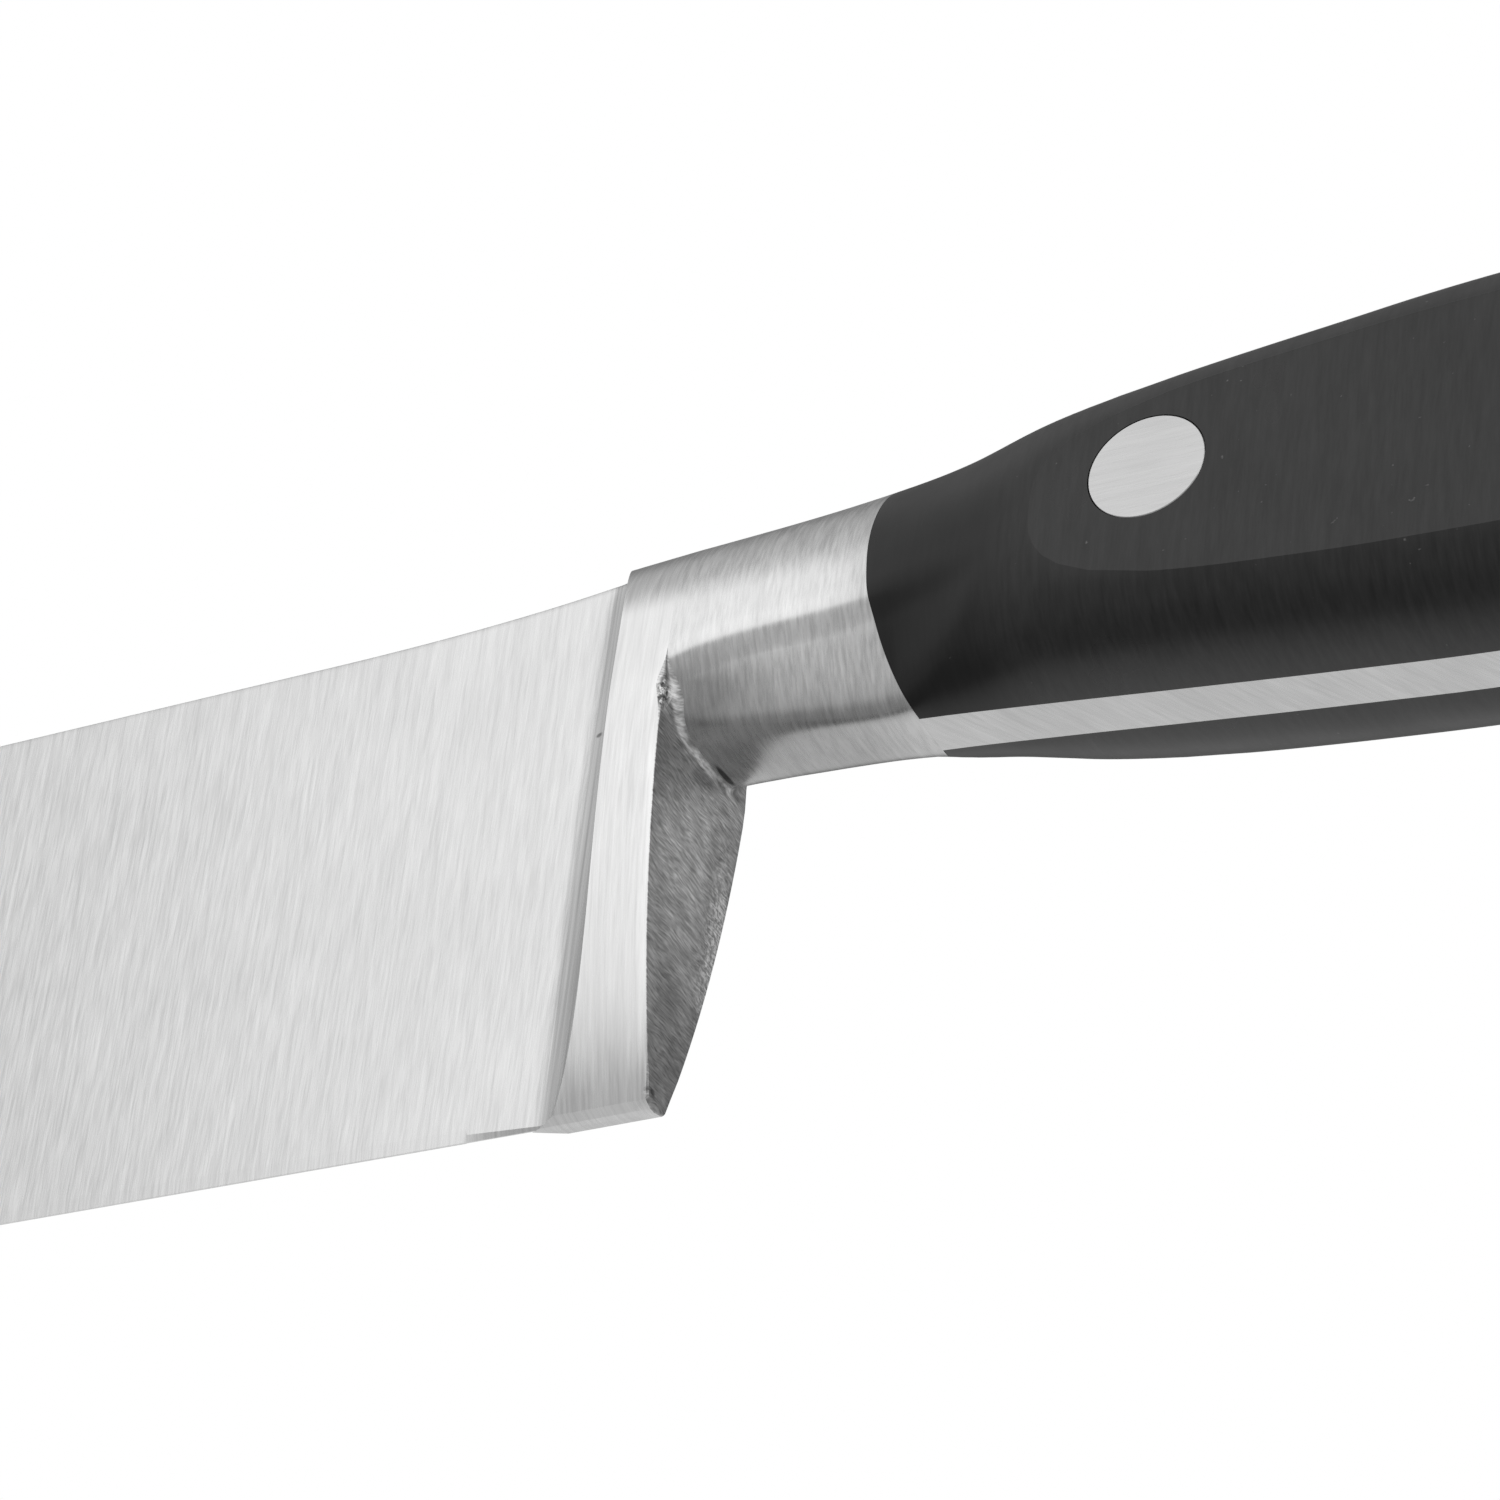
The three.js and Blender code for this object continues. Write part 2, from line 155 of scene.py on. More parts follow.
FACET_TOP_SOFTNESS = 1.0    # how far the facet's two edges are rounded off
FACET_FOOT_SOFTNESS = 1.8
FACET_SOFTENING_DEPTH = 1.6
COLLAR_FACET = [(34, 31.4), (36, 32.1), (39, 32.5), (48, 32.9)]   # x, and the height of its start
COLLAR_FADE = (50, 58)      # flat side and facet fade out under the scales' front
RING_TABLE_END_X = 62       # the handle's front, up to here, is looked up from a table of rings
SCALE_FRONT_END_X = 56      # up to here, the scales' stations follow the slanted joint
SCALE_TABLE_XS = (46, 58)
WIDENING_END_X = 85         # the handle only gets wider up to here
CREASE_START_X = 60.7       # the creases round the scales' flats are sharp from here to the butt
CREASE_FINENESS = 0.004     # stations are this close together where the flat starts
CREASE_GROWTH = 1.9
TANG_CLEARANCE = 0.02       # how much wider than the tang the last ring at the butt is

# ---- sizes of the rivets ----

HEAD_RADIUS = 4.0
HEAD_LENGTH = 4.5
TUBE_RADIUS = 2.6
TUBE_END_Y = 2.6
PIN_RADIUS = 1.6
PIN_END_Y = -3.6
BORE_END_Y = -4.2
RIVET_CLEARANCE = 0.04
OVERCUT = 1                 # how far a hole's cutter stands out at each end
HEAD_CHAMFER = 0.06

# ---- how many points a half ring has, from its bottom centre to its top centre ----

TANG_POINTS = 4             # from the centre to the tang's side
SIDE_POINTS = 4             # along the flat side, below the equator
BELLY_POINTS = 30           # the rest of the lower half
LOWER_POINTS = TANG_POINTS + BELLY_POINTS + SIDE_POINTS
SIDE_INDEX = TANG_POINTS + BELLY_POINTS
UPPER_POINTS = 26
LEVEL_INDEX = 20            # from here up to the side, lines across the back face are level
TOP_TANG_INDEX = LOWER_POINTS + UPPER_POINTS - TANG_POINTS
LAST_INDEX = LOWER_POINTS + UPPER_POINTS

# ---- how many points a ring of a scale has ----

SCALE_BELLY_POINTS = 26
SCALE_FLAT_POINTS = 8
SCALE_TOP_POINTS = 30
SCALE_INNER_POINTS = 6      # along the tang
SCALE_FRONT_STEPS = 16      # rings from the slanted joint to the first upright ring
JOINT_ROUNDS = 12           # rounds of search for a point on the joint


def mix(a, b, share):
    return a + (b - a) * share


def clamp(value, low=0.0, high=1.0):
    return min(max(value, low), high)


# ---- curves ----


def bezier(points, share):
    """A point on the Bezier curve with these control points."""
    points = [np.array(point, float) for point in points]
    while len(points) > 1:
        points = [mix(a, b, share) for a, b in zip(points, points[1:])]
    return points[0]


def curve_table(*pieces, steps=80):
    """Points along a chain of Bezier curves, sorted by their first coordinate."""
    shares = np.linspace(0, 1, steps)
    table = np.array([bezier(piece, share) for piece in pieces for share in shares])
    return table[np.argsort(table[:, 0], kind="stable")]


def straight_edge_z(x):
    return EDGE_RISE * (HEEL_X - x)


EDGE_TABLE = curve_table(
    [(HEEL_X, 0), (STRAIGHT_EDGE_END_X, straight_edge_z(STRAIGHT_EDGE_END_X))],
    [
        (STRAIGHT_EDGE_END_X, straight_edge_z(STRAIGHT_EDGE_END_X)),
        (EDGE_REAR_HANDLE_X, straight_edge_z(EDGE_REAR_HANDLE_X)),
        EDGE_FRONT_HANDLE,
        (TIP_X, TIP_Z - TIP_HEIGHT),
    ],
)
SPINE_TABLE = curve_table(
    [(HEEL_X, SPINE_ROOT_Z), (FLARE_END_X, SPINE_ROOT_Z)],
    [(FLARE_END_X, SPINE_ROOT_Z), FLARE_HANDLE, (FLARE_START_X, SPINE_Z)],
    [(FLARE_START_X, SPINE_Z), (STRAIGHT_EDGE_END_X, SPINE_Z - SPINE_DROP)],
    [
        (STRAIGHT_EDGE_END_X, SPINE_Z - SPINE_DROP),
        SPINE_REAR_HANDLE,
        SPINE_FRONT_HANDLE,
        (TIP_X, TIP_Z),
    ],
)
PROFILE_TABLE = np.array([
    bezier([(HEEL_HALF, 0.0), PROFILE_PULL, (COLLAR_HALF, SHOULDER_Z)], share)
    for share in np.linspace(0, 1, 60)
])


def table_value(table, x):
    return float(np.interp(x, table[:, 0], table[:, 1]))


def table_point(xs, rings, index, x):
    """One point of the ring at x, between rings that stand at these places."""
    return np.array([np.interp(x, xs, rings[:, index, axis]) for axis in range(2)])


def bolster_half(z):
    """Half the bolster's width at a height, up to its equator."""
    return table_value(PROFILE_TABLE[:, ::-1], z)


def catmull_rom(values, share):
    """A value on the uniform Catmull-Rom spline through these values."""
    place = share * (len(values) - 1)
    start = min(int(place), len(values) - 2)
    t = place - start
    before = values[max(start - 1, 0)]
    a, b = values[start], values[start + 1]
    after = values[min(start + 2, len(values) - 1)]
    slope_a, slope_b = (b - before) / 2, (after - a) / 2
    return (
        (2 * a - 2 * b + slope_a + slope_b) * t ** 3
        + (-3 * a + 3 * b - 2 * slope_a - slope_b) * t ** 2
        + slope_a * t
        + a
    )


HANDLE_TABLE = np.array([
    [catmull_rom(column, share) for column in np.array(HANDLE_SECTIONS, float).T]
    for share in np.linspace(0, 1, 400)
])


def handle_size(x):
    """Half width, middle height, half height, top squareness and belly squareness of the handle."""
    half, top, belly, top_round, belly_round = (
        float(np.interp(x, HANDLE_TABLE[:, 0], HANDLE_TABLE[:, column])) for column in range(1, 6)
    )
    middle, height = (top + belly) / 2, (top - belly) / 2
    if x > BUTT_START_X:
        along = clamp((x - BUTT_START_X) / (BUTT_X - BUTT_START_X))
        closing = (1 - along ** BUTT_ROUND) ** (1 / BUTT_ROUND)
        half, height = half * closing, height * closing
        middle -= BUTT_TILT * along
    return half, middle, height, top_round, belly_round


def resample(points, count):
    """Points at equal steps along a line of points, with both ends kept."""
    points = np.array(points, float)
    steps = np.linalg.norm(np.diff(points, axis=0), axis=1)
    along = np.concatenate([[0], np.cumsum(steps)])
    if along[-1] < 1e-9:
        return np.repeat(points[:1], count + 1, axis=0)
    wanted = np.linspace(0, along[-1], count + 1)
    return np.stack([np.interp(wanted, along, points[:, axis]) for axis in range(2)], axis=1)


def quarter(half, height, squareness, steps=240):
    """A quarter of a superellipse, from its end on the width axis to its end on the height axis."""
    angles = np.linspace(0, math.pi / 2, steps)
    across = half * np.cos(angles) ** (2 / squareness)
    up = height * np.sin(angles) ** (2 / squareness)
    across[-1] = 0
    return np.stack([across, up], axis=1)


def cut_at(points, axis, value):
    """Splits a line of points where one coordinate passes a value; both parts hold that point."""
    points = np.array(points)
    side = points[:, axis] > value
    change = np.flatnonzero(side[1:] != side[:-1])
    if len(change) == 0:
        return points, points[-1:]
    k = change[0]
    a, b = points[k], points[k + 1]
    middle = mix(a, b, (value - a[axis]) / (b[axis] - a[axis]))
    return np.vstack([points[: k + 1], middle]), np.vstack([middle, points[k + 1:]])


def soft_min(a, b, softness):
    """The smaller of two numbers, with the change from one to the other rounded off."""
    overlap = np.maximum(softness - np.abs(a - b), 0) / np.maximum(softness, 1e-9)
    return np.minimum(a, b) - softness * overlap ** 2 / 4


def soft_ramp(value, softness):
    """0 below zero and the value itself above it, with the bend rounded off."""
    bend = (value + softness) ** 2 / (4 * softness)
    return np.where(np.abs(value) < softness, bend, np.maximum(value, 0))


def lower_quarter(x):
    """The handle's outline from its widest point down to its belly, with the collar's facet."""
    half, middle, height, _, belly_round = handle_size(x)
    strength = clamp((COLLAR_FADE[1] - x) / (COLLAR_FADE[1] - COLLAR_FADE[0]))
    outline = quarter(half + COLLAR_FLAT * strength, height, belly_round) * (1, -1) + (0, middle)
    below = table_value(np.array(COLLAR_FACET), x) - outline[:, 1]
    facet = half - COLLAR_FACET_SLOPE * strength * soft_ramp(below, FACET_TOP_SOFTNESS)
    softness = FACET_FOOT_SOFTNESS * strength * np.clip(below / FACET_SOFTENING_DEPTH, 0, 1)
    outline[:, 0] = np.maximum(soft_min(outline[:, 0], facet, softness), 0)
    outline[-1, 0] = 0
    return outline


def handle_ring(x):
    """Half a cross-section of the handle: (y, z) from the belly's centre to the top's centre."""
    half, middle, height, top_round, _ = handle_size(x)
    tang = min(TANG_HALF, half)
    flat_side, belly = cut_at(lower_quarter(x), 0, half - 0.003)
    belly_side, belly_middle = cut_at(belly, 0, tang)
    upper = quarter(half, height, top_round) + (0, middle)
    top_side, top_middle = cut_at(upper, 0, tang)
    ring = [
        resample(belly_middle, TANG_POINTS)[::-1],
        resample(belly_side, BELLY_POINTS)[::-1][1:],
        resample(flat_side, SIDE_POINTS)[::-1][1:],
        resample(top_side, UPPER_POINTS - TANG_POINTS)[1:],
        resample(top_middle, TANG_POINTS)[1:],
    ]
    return np.vstack(ring)


def joint_x(z):
    """Where the collar ends and the scales start, at a height."""
    return table_value(JOINT_TABLE, z)


JOINT_TABLE = np.array([
    bezier([JOINT_BELLY[::-1], JOINT_BEND[::-1], JOINT_TOP[::-1]], share)
    for share in np.linspace(0, 1, 60)
])
RING_STATIONS = np.linspace(HANDLE_SECTIONS[0][0], RING_TABLE_END_X, 125)
RING_TABLE = np.array([handle_ring(x) for x in RING_STATIONS])


def handle_point(index, x):
    """One point of the front of the handle's surface, at any x from the bolster to the scales."""
    return table_point(RING_STATIONS, RING_TABLE, index, x)


# ---- half rings of the blade and the bolster ----


def wedge_slope(x):
    along = clamp((TAPER_START_X - x) / (TAPER_START_X - TIP_X))
    return WEDGE_SLOPE * (1 - TIP_TAPER * along)


def blade_ring(x):
    """Half a cross-section of the blade: (y, z) from the edge's centre to the spine's centre."""
    low, high = table_value(EDGE_TABLE, x), table_value(SPINE_TABLE, x)

    def half_at(z):
        return max(BEVEL_HALF + wedge_slope(x) * (z - low - BEVEL_HEIGHT), EDGE_HALF)

    if x <= BEVEL_END_X:
        rise = min(BEVEL_HEIGHT, (high - low) / 2)
        ring = [(0, low), (EDGE_HALF, low), (BEVEL_HALF, low + rise)]
    else:
        along = clamp((x - BEVEL_END_X) / (COVE_START_X - BEVEL_END_X))
        rise = mix(PLAIN_EDGE_RISE, FOOT_Z, along)
        ring = [(0, low), (PLAIN_EDGE_HALF, low), (half_at(low + rise), low + rise)]
    bevel_top = low + rise
    share = (EQUATOR_Z - EDGE_RISE) / SPINE_ROOT_Z
    equator = mix(low, high, share)
    for k in range(1, LOWER_POINTS - 1):
        z = mix(bevel_top, equator, k / (LOWER_POINTS - 2))
        ring.append((half_at(z), z))
    radius = min(ARRIS_RADIUS, half_at(high) * 0.4, (high - equator) * 0.4)
    flat_points = UPPER_POINTS - 5
    for k in range(1, flat_points + 1):
        z = mix(equator, high - radius, k / flat_points)
        ring.append((half_at(z), z))
    side = half_at(high)
    for angle in (30, 60, 90):
        turn = math.radians(angle)
        ring.append((side - radius * (1 - math.cos(turn)), high - radius * (1 - math.sin(turn))))
    ring.append(((side - radius) / 2, high))
    ring.append((0, high))
    return np.array(ring)


def bolster_top(x):
    """The (y, z) points of half the bolster's top, from its equator to its centre."""
    half, middle, height, top_round, _ = handle_size(COLLAR_X)
    share = clamp((x - BOLSTER_TOP_X) / (COLLAR_X - BOLSTER_TOP_X))
    middle_z = mix(EQUATOR_Z, middle, share)
    top_z = mix(BOLSTER_TOP_Z, middle + height, share)
    arc = quarter(COLLAR_HALF, top_z - middle_z, mix(2, top_round, share)) + (0, middle_z)
    side, crown = cut_at(arc, 0, TANG_HALF)
    return np.vstack([
        resample(side, UPPER_POINTS - TANG_POINTS), resample(crown, TANG_POINTS)[1:],
    ])


TOP_STATIONS = np.linspace(BOLSTER_TOP_X, COLLAR_X, 15)
TOP_TABLE = np.array([bolster_top(x) for x in TOP_STATIONS])


def bolster_lower():
    """The (y, z) points of half the bolster's lower part, from its foot to its equator."""
    collar = handle_ring(COLLAR_X)
    parting_z = collar[SIDE_INDEX][1]
    heights = np.linspace(FOOT_Z, parting_z, SIDE_INDEX - 1)
    profile = [(min(bolster_half(z), COLLAR_HALF), z) for z in heights]
    return np.vstack([FOOT, profile, collar[SIDE_INDEX + 1: LOWER_POINTS + 1]])


BOLSTER_LOWER = bolster_lower()


def bolster_point(index, x):
    if index <= LOWER_POINTS:
        return BOLSTER_LOWER[index]
    return table_point(TOP_STATIONS, TOP_TABLE, index - LOWER_POINTS, x)


def cove_end_x(index):
    """Where the cove meets the bolster's side, along one line of the mesh."""
    if index <= LOWER_POINTS:
        reach = COLLAR_HALF - BOLSTER_LOWER[index][0]
        return COVE_CENTRE_X + math.sqrt(COVE_RADIUS ** 2 - reach ** 2)
    side_x = COVE_CENTRE_X + COVE_RADIUS
    share = bolster_point(index, BOLSTER_TOP_X)[0] / COLLAR_HALF
    return mix(BOLSTER_TOP_X, side_x, share ** 1.3)


def back_x(z):
    """The bolster's leaning back face, at a height."""
    return HEEL_X - BACK_LEAN * clamp(z / SHOULDER_Z)


# ---- the forging's stations: each is a list of (x, y, z), one for each point of a half ring ----


def station(x_of, point_of):
    """A half ring whose every point has its own x."""
    ring = []
    for index in range(LAST_INDEX + 1):
        x = x_of(index)
        y, z = point_of(index, x)
        ring.append((x, y, z))
    return ring


def blade_stations():
    turns = np.linspace(math.pi / 2, 0, 40)
    sweep = [mix(STRAIGHT_EDGE_END_X, TIP_X, math.sin(turn)) for turn in turns]
    flat = np.linspace(STRAIGHT_EDGE_END_X, FLARE_START_X, 12)[1:]
    flare = np.linspace(FLARE_START_X, BEVEL_END_X - BEVEL_END_MARGINS[0], 12)[1:]
    runout = [BEVEL_END_X, BEVEL_END_X + BEVEL_RUNOUT]
    rest = np.linspace(BEVEL_END_X + BEVEL_END_MARGINS[1], COVE_START_X, 8)
    stations = []
    for x in [*sweep, *flat, *flare, *runout, *rest]:
        ring = blade_ring(x)
        stations.append([(x, y, z) for y, z in ring])
    return stations


def cove_stations(start, steps=14):
    """The hollow from the blade's flank out to the bolster's side."""
    first, last = COVE_ANGLES
    stations = []
    for k in range(1, steps + 1):
        turn = mix(first, last, k / steps)
        forward = (math.sin(turn) - math.sin(first)) / (math.sin(last) - math.sin(first))
        outward = (math.cos(first) - math.cos(turn)) / (math.cos(first) - math.cos(last))
        ring = []
        for index, (x, y, z) in enumerate(start):
            end_x = cove_end_x(index)
            end_y, end_z = bolster_point(index, end_x)
            ring.append((mix(x, end_x, forward), mix(y, end_y, outward), mix(z, end_z, outward)))
        stations.append(ring)
    return stations


COLLAR_RING = handle_ring(COLLAR_X)


def side_point(z):
    return np.array([min(bolster_half(z), COLLAR_HALF), z])


def back_outline():
    """The bolster's outline on its back face, level with the collar's points beside the collar."""
    first = len(FOOT)
    rise = np.linspace(FOOT_Z, COLLAR_RING[LEVEL_INDEX][1], LEVEL_INDEX - first + 1)
    heights = [*rise, *COLLAR_RING[LEVEL_INDEX + 1: SIDE_INDEX + 1, 1]]
    return np.vstack([FOOT, [side_point(z) for z in heights]])


BACK_OUTLINE = back_outline()


def root_gap(index):
    """How far the bolster's outline is from the collar's, on the back face."""
    if index >= SIDE_INDEX:
        return 0.0
    return float(np.linalg.norm(BACK_OUTLINE[index] - COLLAR_RING[index]))


def overhang(z):
    """How far the bolster's side stands out from the collar's, at a height."""
    outline = COLLAR_RING[: SIDE_INDEX + 1]
    collar_half = np.interp(z, outline[:, 1], outline[:, 0], left=0)
    return max(min(bolster_half(z), COLLAR_HALF) - collar_half, 0.0)


def back_edge(index):
    z = BACK_OUTLINE[min(index, SIDE_INDEX)][1]
    wanted = mix(BACK_EDGE_FOOT, BACK_EDGE_TOP, clamp(z / BACK_EDGE_REACH) ** 0.5)
    low, high = ROOT_FILLET_HEIGHTS
    wanted = mix(wanted, BACK_EDGE_ROOT, clamp((z - low) / (high - low)))
    return min(wanted, BACK_EDGE_SHARE * min(root_gap(index), overhang(z)))


def inward(index):
    """The direction on the back face from the bolster's outline towards the collar's."""
    step = COLLAR_RING[index] - BACK_OUTLINE[index]
    return step / max(np.linalg.norm(step), 1e-9)


def inward_normal(index):
    """The direction on the back face square to the bolster's outline."""
    before, after = BACK_OUTLINE[max(index - 1, 0)], BACK_OUTLINE[index + 1]
    along = (after - before) / max(np.linalg.norm(after - before), 1e-9)
    return np.array([-along[1], along[0]])


def bolster_stations(steps=6):
    """The bolster's side, from the cove to the start of the back edge's rounding.

    On the way the points slide to the heights that they have on the back face.
    """
    stations = []
    for k in range(1, steps + 1):
        share = k / steps

        def x_of(index):
            end_x = COLLAR_X
            if index < SIDE_INDEX:
                end_x = back_x(BACK_OUTLINE[index][1]) - back_edge(index)
            return mix(cove_end_x(index), end_x, share)

        def point_of(index, x):
            if index < len(FOOT) or index >= SIDE_INDEX:
                return bolster_point(index, x)
            return side_point(mix(BOLSTER_LOWER[index][1], BACK_OUTLINE[index][1], share))

        stations.append(station(x_of, point_of))
    return stations


def edge_inset(index, turn):
    """A point of the bolster's outline, moved in by the back edge's rounding."""
    y, z = BACK_OUTLINE[index]
    inset = back_edge(index) * (1 - math.cos(turn))
    if index == 0:
        return np.array([0.0, z + inset])
    move = inward_normal(index) if index > 2 else inward(index)
    return np.array([max(y + move[0] * inset, 0.0), z + move[1] * inset])


def back_edge_stations():
    stations = []
    for angle in (30, 60, 90):
        turn = math.radians(angle)

        def x_of(index):
            if index >= SIDE_INDEX:
                return COLLAR_X
            return back_x(BACK_OUTLINE[index][1]) - back_edge(index) * (1 - math.sin(turn))

        def point_of(index, x):
            return edge_inset(index, turn) if index < SIDE_INDEX else bolster_point(index, COLLAR_X)

        stations.append(station(x_of, point_of))
    return stations


def root_radius(index):
    """The radius of the fillet between back face and collar, which fades out at both ends."""
    z = COLLAR_RING[index][1]
    low, high = ROOT_FILLET_HEIGHTS
    wanted = mix(ROOT_FILLET_BELLY, ROOT_FILLET_SIDE, clamp((z - low) / (high - low)))
    return min(wanted, ROOT_FILLET_SHARE * min(root_gap(index), overhang(z)))


def back_face_stations(steps=6):
    """The flat back face, from its edge in to the fillet round the collar."""
    stations = []
    for k in range(1, steps + 1):
        def point_of(index, x):
            if index >= SIDE_INDEX:
                return bolster_point(index, COLLAR_X)
            outer = edge_inset(index, math.pi / 2)
            inner = COLLAR_RING[index] - inward(index) * root_radius(index)
            return mix(outer, inner, k / steps)

        def x_of(index):
            return back_x(point_of(index, 0)[1]) if index < SIDE_INDEX else COLLAR_X

        stations.append(station(x_of, point_of))
    return stations


def fillet_x(index, turn):
    start = back_x(COLLAR_RING[index][1]) if index < SIDE_INDEX else COLLAR_X
    return start + root_radius(index) * (1 - math.cos(turn))


def fillet_stations(steps=6):
    """The fillet from the back face onto the collar."""
    stations = []
    for k in range(1, steps + 1):
        turn = math.pi / 2 * k / steps

        def point_of(index, x):
            if index >= SIDE_INDEX:
                return bolster_point(index, COLLAR_X)
            away = inward(index) * root_radius(index) * (1 - math.sin(turn))
            return handle_point(index, x) - away

        stations.append(station(lambda index: fillet_x(index, turn), point_of))
    return stations


def joint_crossing(point_of, index):
    """Where one line of the mesh meets the joint between collar and scales."""
    x = JOINT_TOP[0]
    for _ in range(JOINT_ROUNDS):
        x = joint_x(point_of(index, x)[1])
    return x


def collar_stations(steps=20):
    starts = [fillet_x(index, math.pi / 2) for index in range(LAST_INDEX + 1)]
    ends = [joint_crossing(handle_point, index) for index in range(LAST_INDEX + 1)]
    return [
        station(lambda index: mix(starts[index], ends[index], k / steps), handle_point)
        for k in range(1, steps + 1)
    ]


def tang_ring(x):
    """Half a cross-section of the tang, with the same points as a ring of the handle."""
    ring = handle_ring(x)
    low, high = ring[TANG_POINTS].copy(), ring[TOP_TANG_INDEX].copy()
    count = TOP_TANG_INDEX - TANG_POINTS
    for k in range(count + 1):
        ring[TANG_POINTS + k] = mix(low, high, k / count)
    return ring


def butt_end_x(half_left):
    """Where the rounding of the butt has narrowed the handle to this half width."""
    closing = half_left / HANDLE_SECTIONS[-1][1]
    return mix(BUTT_START_X, BUTT_X, (1 - closing ** BUTT_ROUND) ** (1 / BUTT_ROUND))


def butt_xs(end_x, steps=16):
    """Stations over the rounding of the butt, closer together towards its end."""
    reach = clamp((end_x - BUTT_START_X) / (BUTT_X - BUTT_START_X))
    last_turn = math.asin(reach ** (BUTT_ROUND / 2))
    turns = np.linspace(0, last_turn, steps + 1)[1:]
    return [mix(BUTT_START_X, BUTT_X, math.sin(turn) ** (2 / BUTT_ROUND)) for turn in turns]


TANG_TABLE = np.array([tang_ring(x) for x in RING_STATIONS])


def tang_point(index, x):
    return table_point(RING_STATIONS, TANG_TABLE, index, x)


def tang_stations(steps=6):
    """The joint's face, then the tang to the butt."""
    starts = [joint_crossing(tang_point, index) for index in range(LAST_INDEX + 1)]
    clear_x = RING_STATIONS[-1]
    stations = [
        station(lambda index: mix(starts[index], clear_x, k / steps), tang_point)
        for k in range(steps + 1)
    ]
    xs = [*np.linspace(clear_x, BUTT_START_X, 46)[1:], *butt_xs(butt_end_x(TANG_HALF + TANG_CLEARANCE))]
    for x in xs:
        stations.append([(x, y, z) for y, z in tang_ring(x)])
    last = stations[-1]
    middle = (last[0][2] + last[-1][2]) / 2
    stations.append([(BUTT_X, y, mix(middle, z, BUTT_CAP)) for _, y, z in last])
    return stations


# ---- meshes ----


def whole_ring(half_ring):
    """A closed ring: up the left side, over the top and down the right side."""
    left = [(x, -y, z) for x, y, z in half_ring]
    right = [(x, y, z) for x, y, z in half_ring[-2:0:-1]]
    return left + right


def add_points(bm, points):
    return [bm.verts.new([value * MM for value in point]) for point in points]


def skin(bm, rings, finishes=None):
    """Faces between closed rings that have the same number of points; flat ends close it.

    finishes holds each ring's material number, for the faces between it and the ring before.
    """
    lines = [add_points(bm, ring) for ring in rings]
    count = len(lines[0])
    for k, (near, far) in enumerate(zip(lines, lines[1:])):
        for j in range(count):
            after = (j + 1) % count
            face = bm.faces.new((near[j], near[after], far[after], far[j]))
            face.smooth = True
            if finishes:
                face.material_index = finishes[k + 1]
    bm.faces.new(lines[0][::-1])
    bm.faces.new(lines[-1])
    return lines


def pairs_along(lines, index):
    """Neighbouring points along one line of the mesh."""
    return [(near[index], far[index]) for near, far in zip(lines, lines[1:])]


def mark_sharp(pairs):
    """Marks the edges between these pairs of points as sharp."""
    for a, b in pairs:
        for edge in a.link_edges:
            if edge.other_vert(a) is b:
                edge.smooth = False


def finish_mesh(bm, name, materials):
    """Merges doubled points, faces the mesh outwards and makes it an object."""
    bmesh.ops.remove_doubles(bm, verts=bm.verts, dist=2e-6)
    bmesh.ops.dissolve_degenerate(bm, edges=bm.edges, dist=1e-7)
    bmesh.ops.recalc_face_normals(bm, faces=bm.faces)
    mesh = bpy.data.meshes.new(name)
    bm.to_mesh(mesh)
    bm.free()
    for material in materials:
        mesh.materials.append(material)
    piece = bpy.data.objects.new(name, mesh)
    bpy.context.scene.collection.objects.link(piece)
    return piece


def sharpen(piece, degrees):
    """Edges steeper than this are sharp as well as the ones already marked."""
    marked = piece.data.attributes.get("sharp_edge")
    kept = [item.value for item in marked.data] if marked else []
    piece.data.set_sharp_from_angle(angle=math.radians(degrees))
    for edge, was_sharp in zip(piece.data.edges, kept):
        if was_sharp:
            edge.use_edge_sharp = True


def cut(piece, cutter):
    """Subtracts the cutter from the piece and removes the cutter."""
    modifier = piece.modifiers.new("cut", "BOOLEAN")
    modifier.operation = "DIFFERENCE"
    modifier.solver = "EXACT"
    modifier.object = cutter
    depsgraph = bpy.context.evaluated_depsgraph_get()
    result = bpy.data.meshes.new_from_object(piece.evaluated_get(depsgraph))
    piece.modifiers.clear()
    old = piece.data
    piece.data = result
    result.name = old.name
    bpy.data.meshes.remove(old)
    bpy.data.objects.remove(cutter)


def turned(name, outline, x, z, material, sides=96):
    """A solid of revolution about the line at x, z along Y; its (radius, y) outline ends on it."""
    bm = bmesh.new()
    turns = [2 * math.pi * k / sides for k in range(sides)]
    rings = []
    for radius, y in outline:
        circle = [(radius * math.cos(turn), y, radius * math.sin(turn)) for turn in turns]
        rings.append(add_points(bm, circle if radius > 0 else [(0, y, 0)]))
    for near, far in zip(rings, rings[1:]):
        for k in range(sides):
            after = (k + 1) % sides
            corners = [
                near[k % len(near)],
                near[after % len(near)],
                far[after % len(far)],
                far[k % len(far)],
            ]
            face = bm.faces.new(list(dict.fromkeys(corners)))
            face.smooth = True
    piece = finish_mesh(bm, name, [material])
    piece.data.transform(Matrix.Translation((x * MM, 0, z * MM)))
    return piece


# ---- pieces ----


def tang_hole(x, z, material):
    radius = TUBE_RADIUS + RIVET_CLEARANCE
    outside = TANG_HALF + OVERCUT
    outline = [(0, -outside), (radius, -outside), (radius, outside), (0, outside)]
    return turned("hole", outline, x, z, material, sides=48)


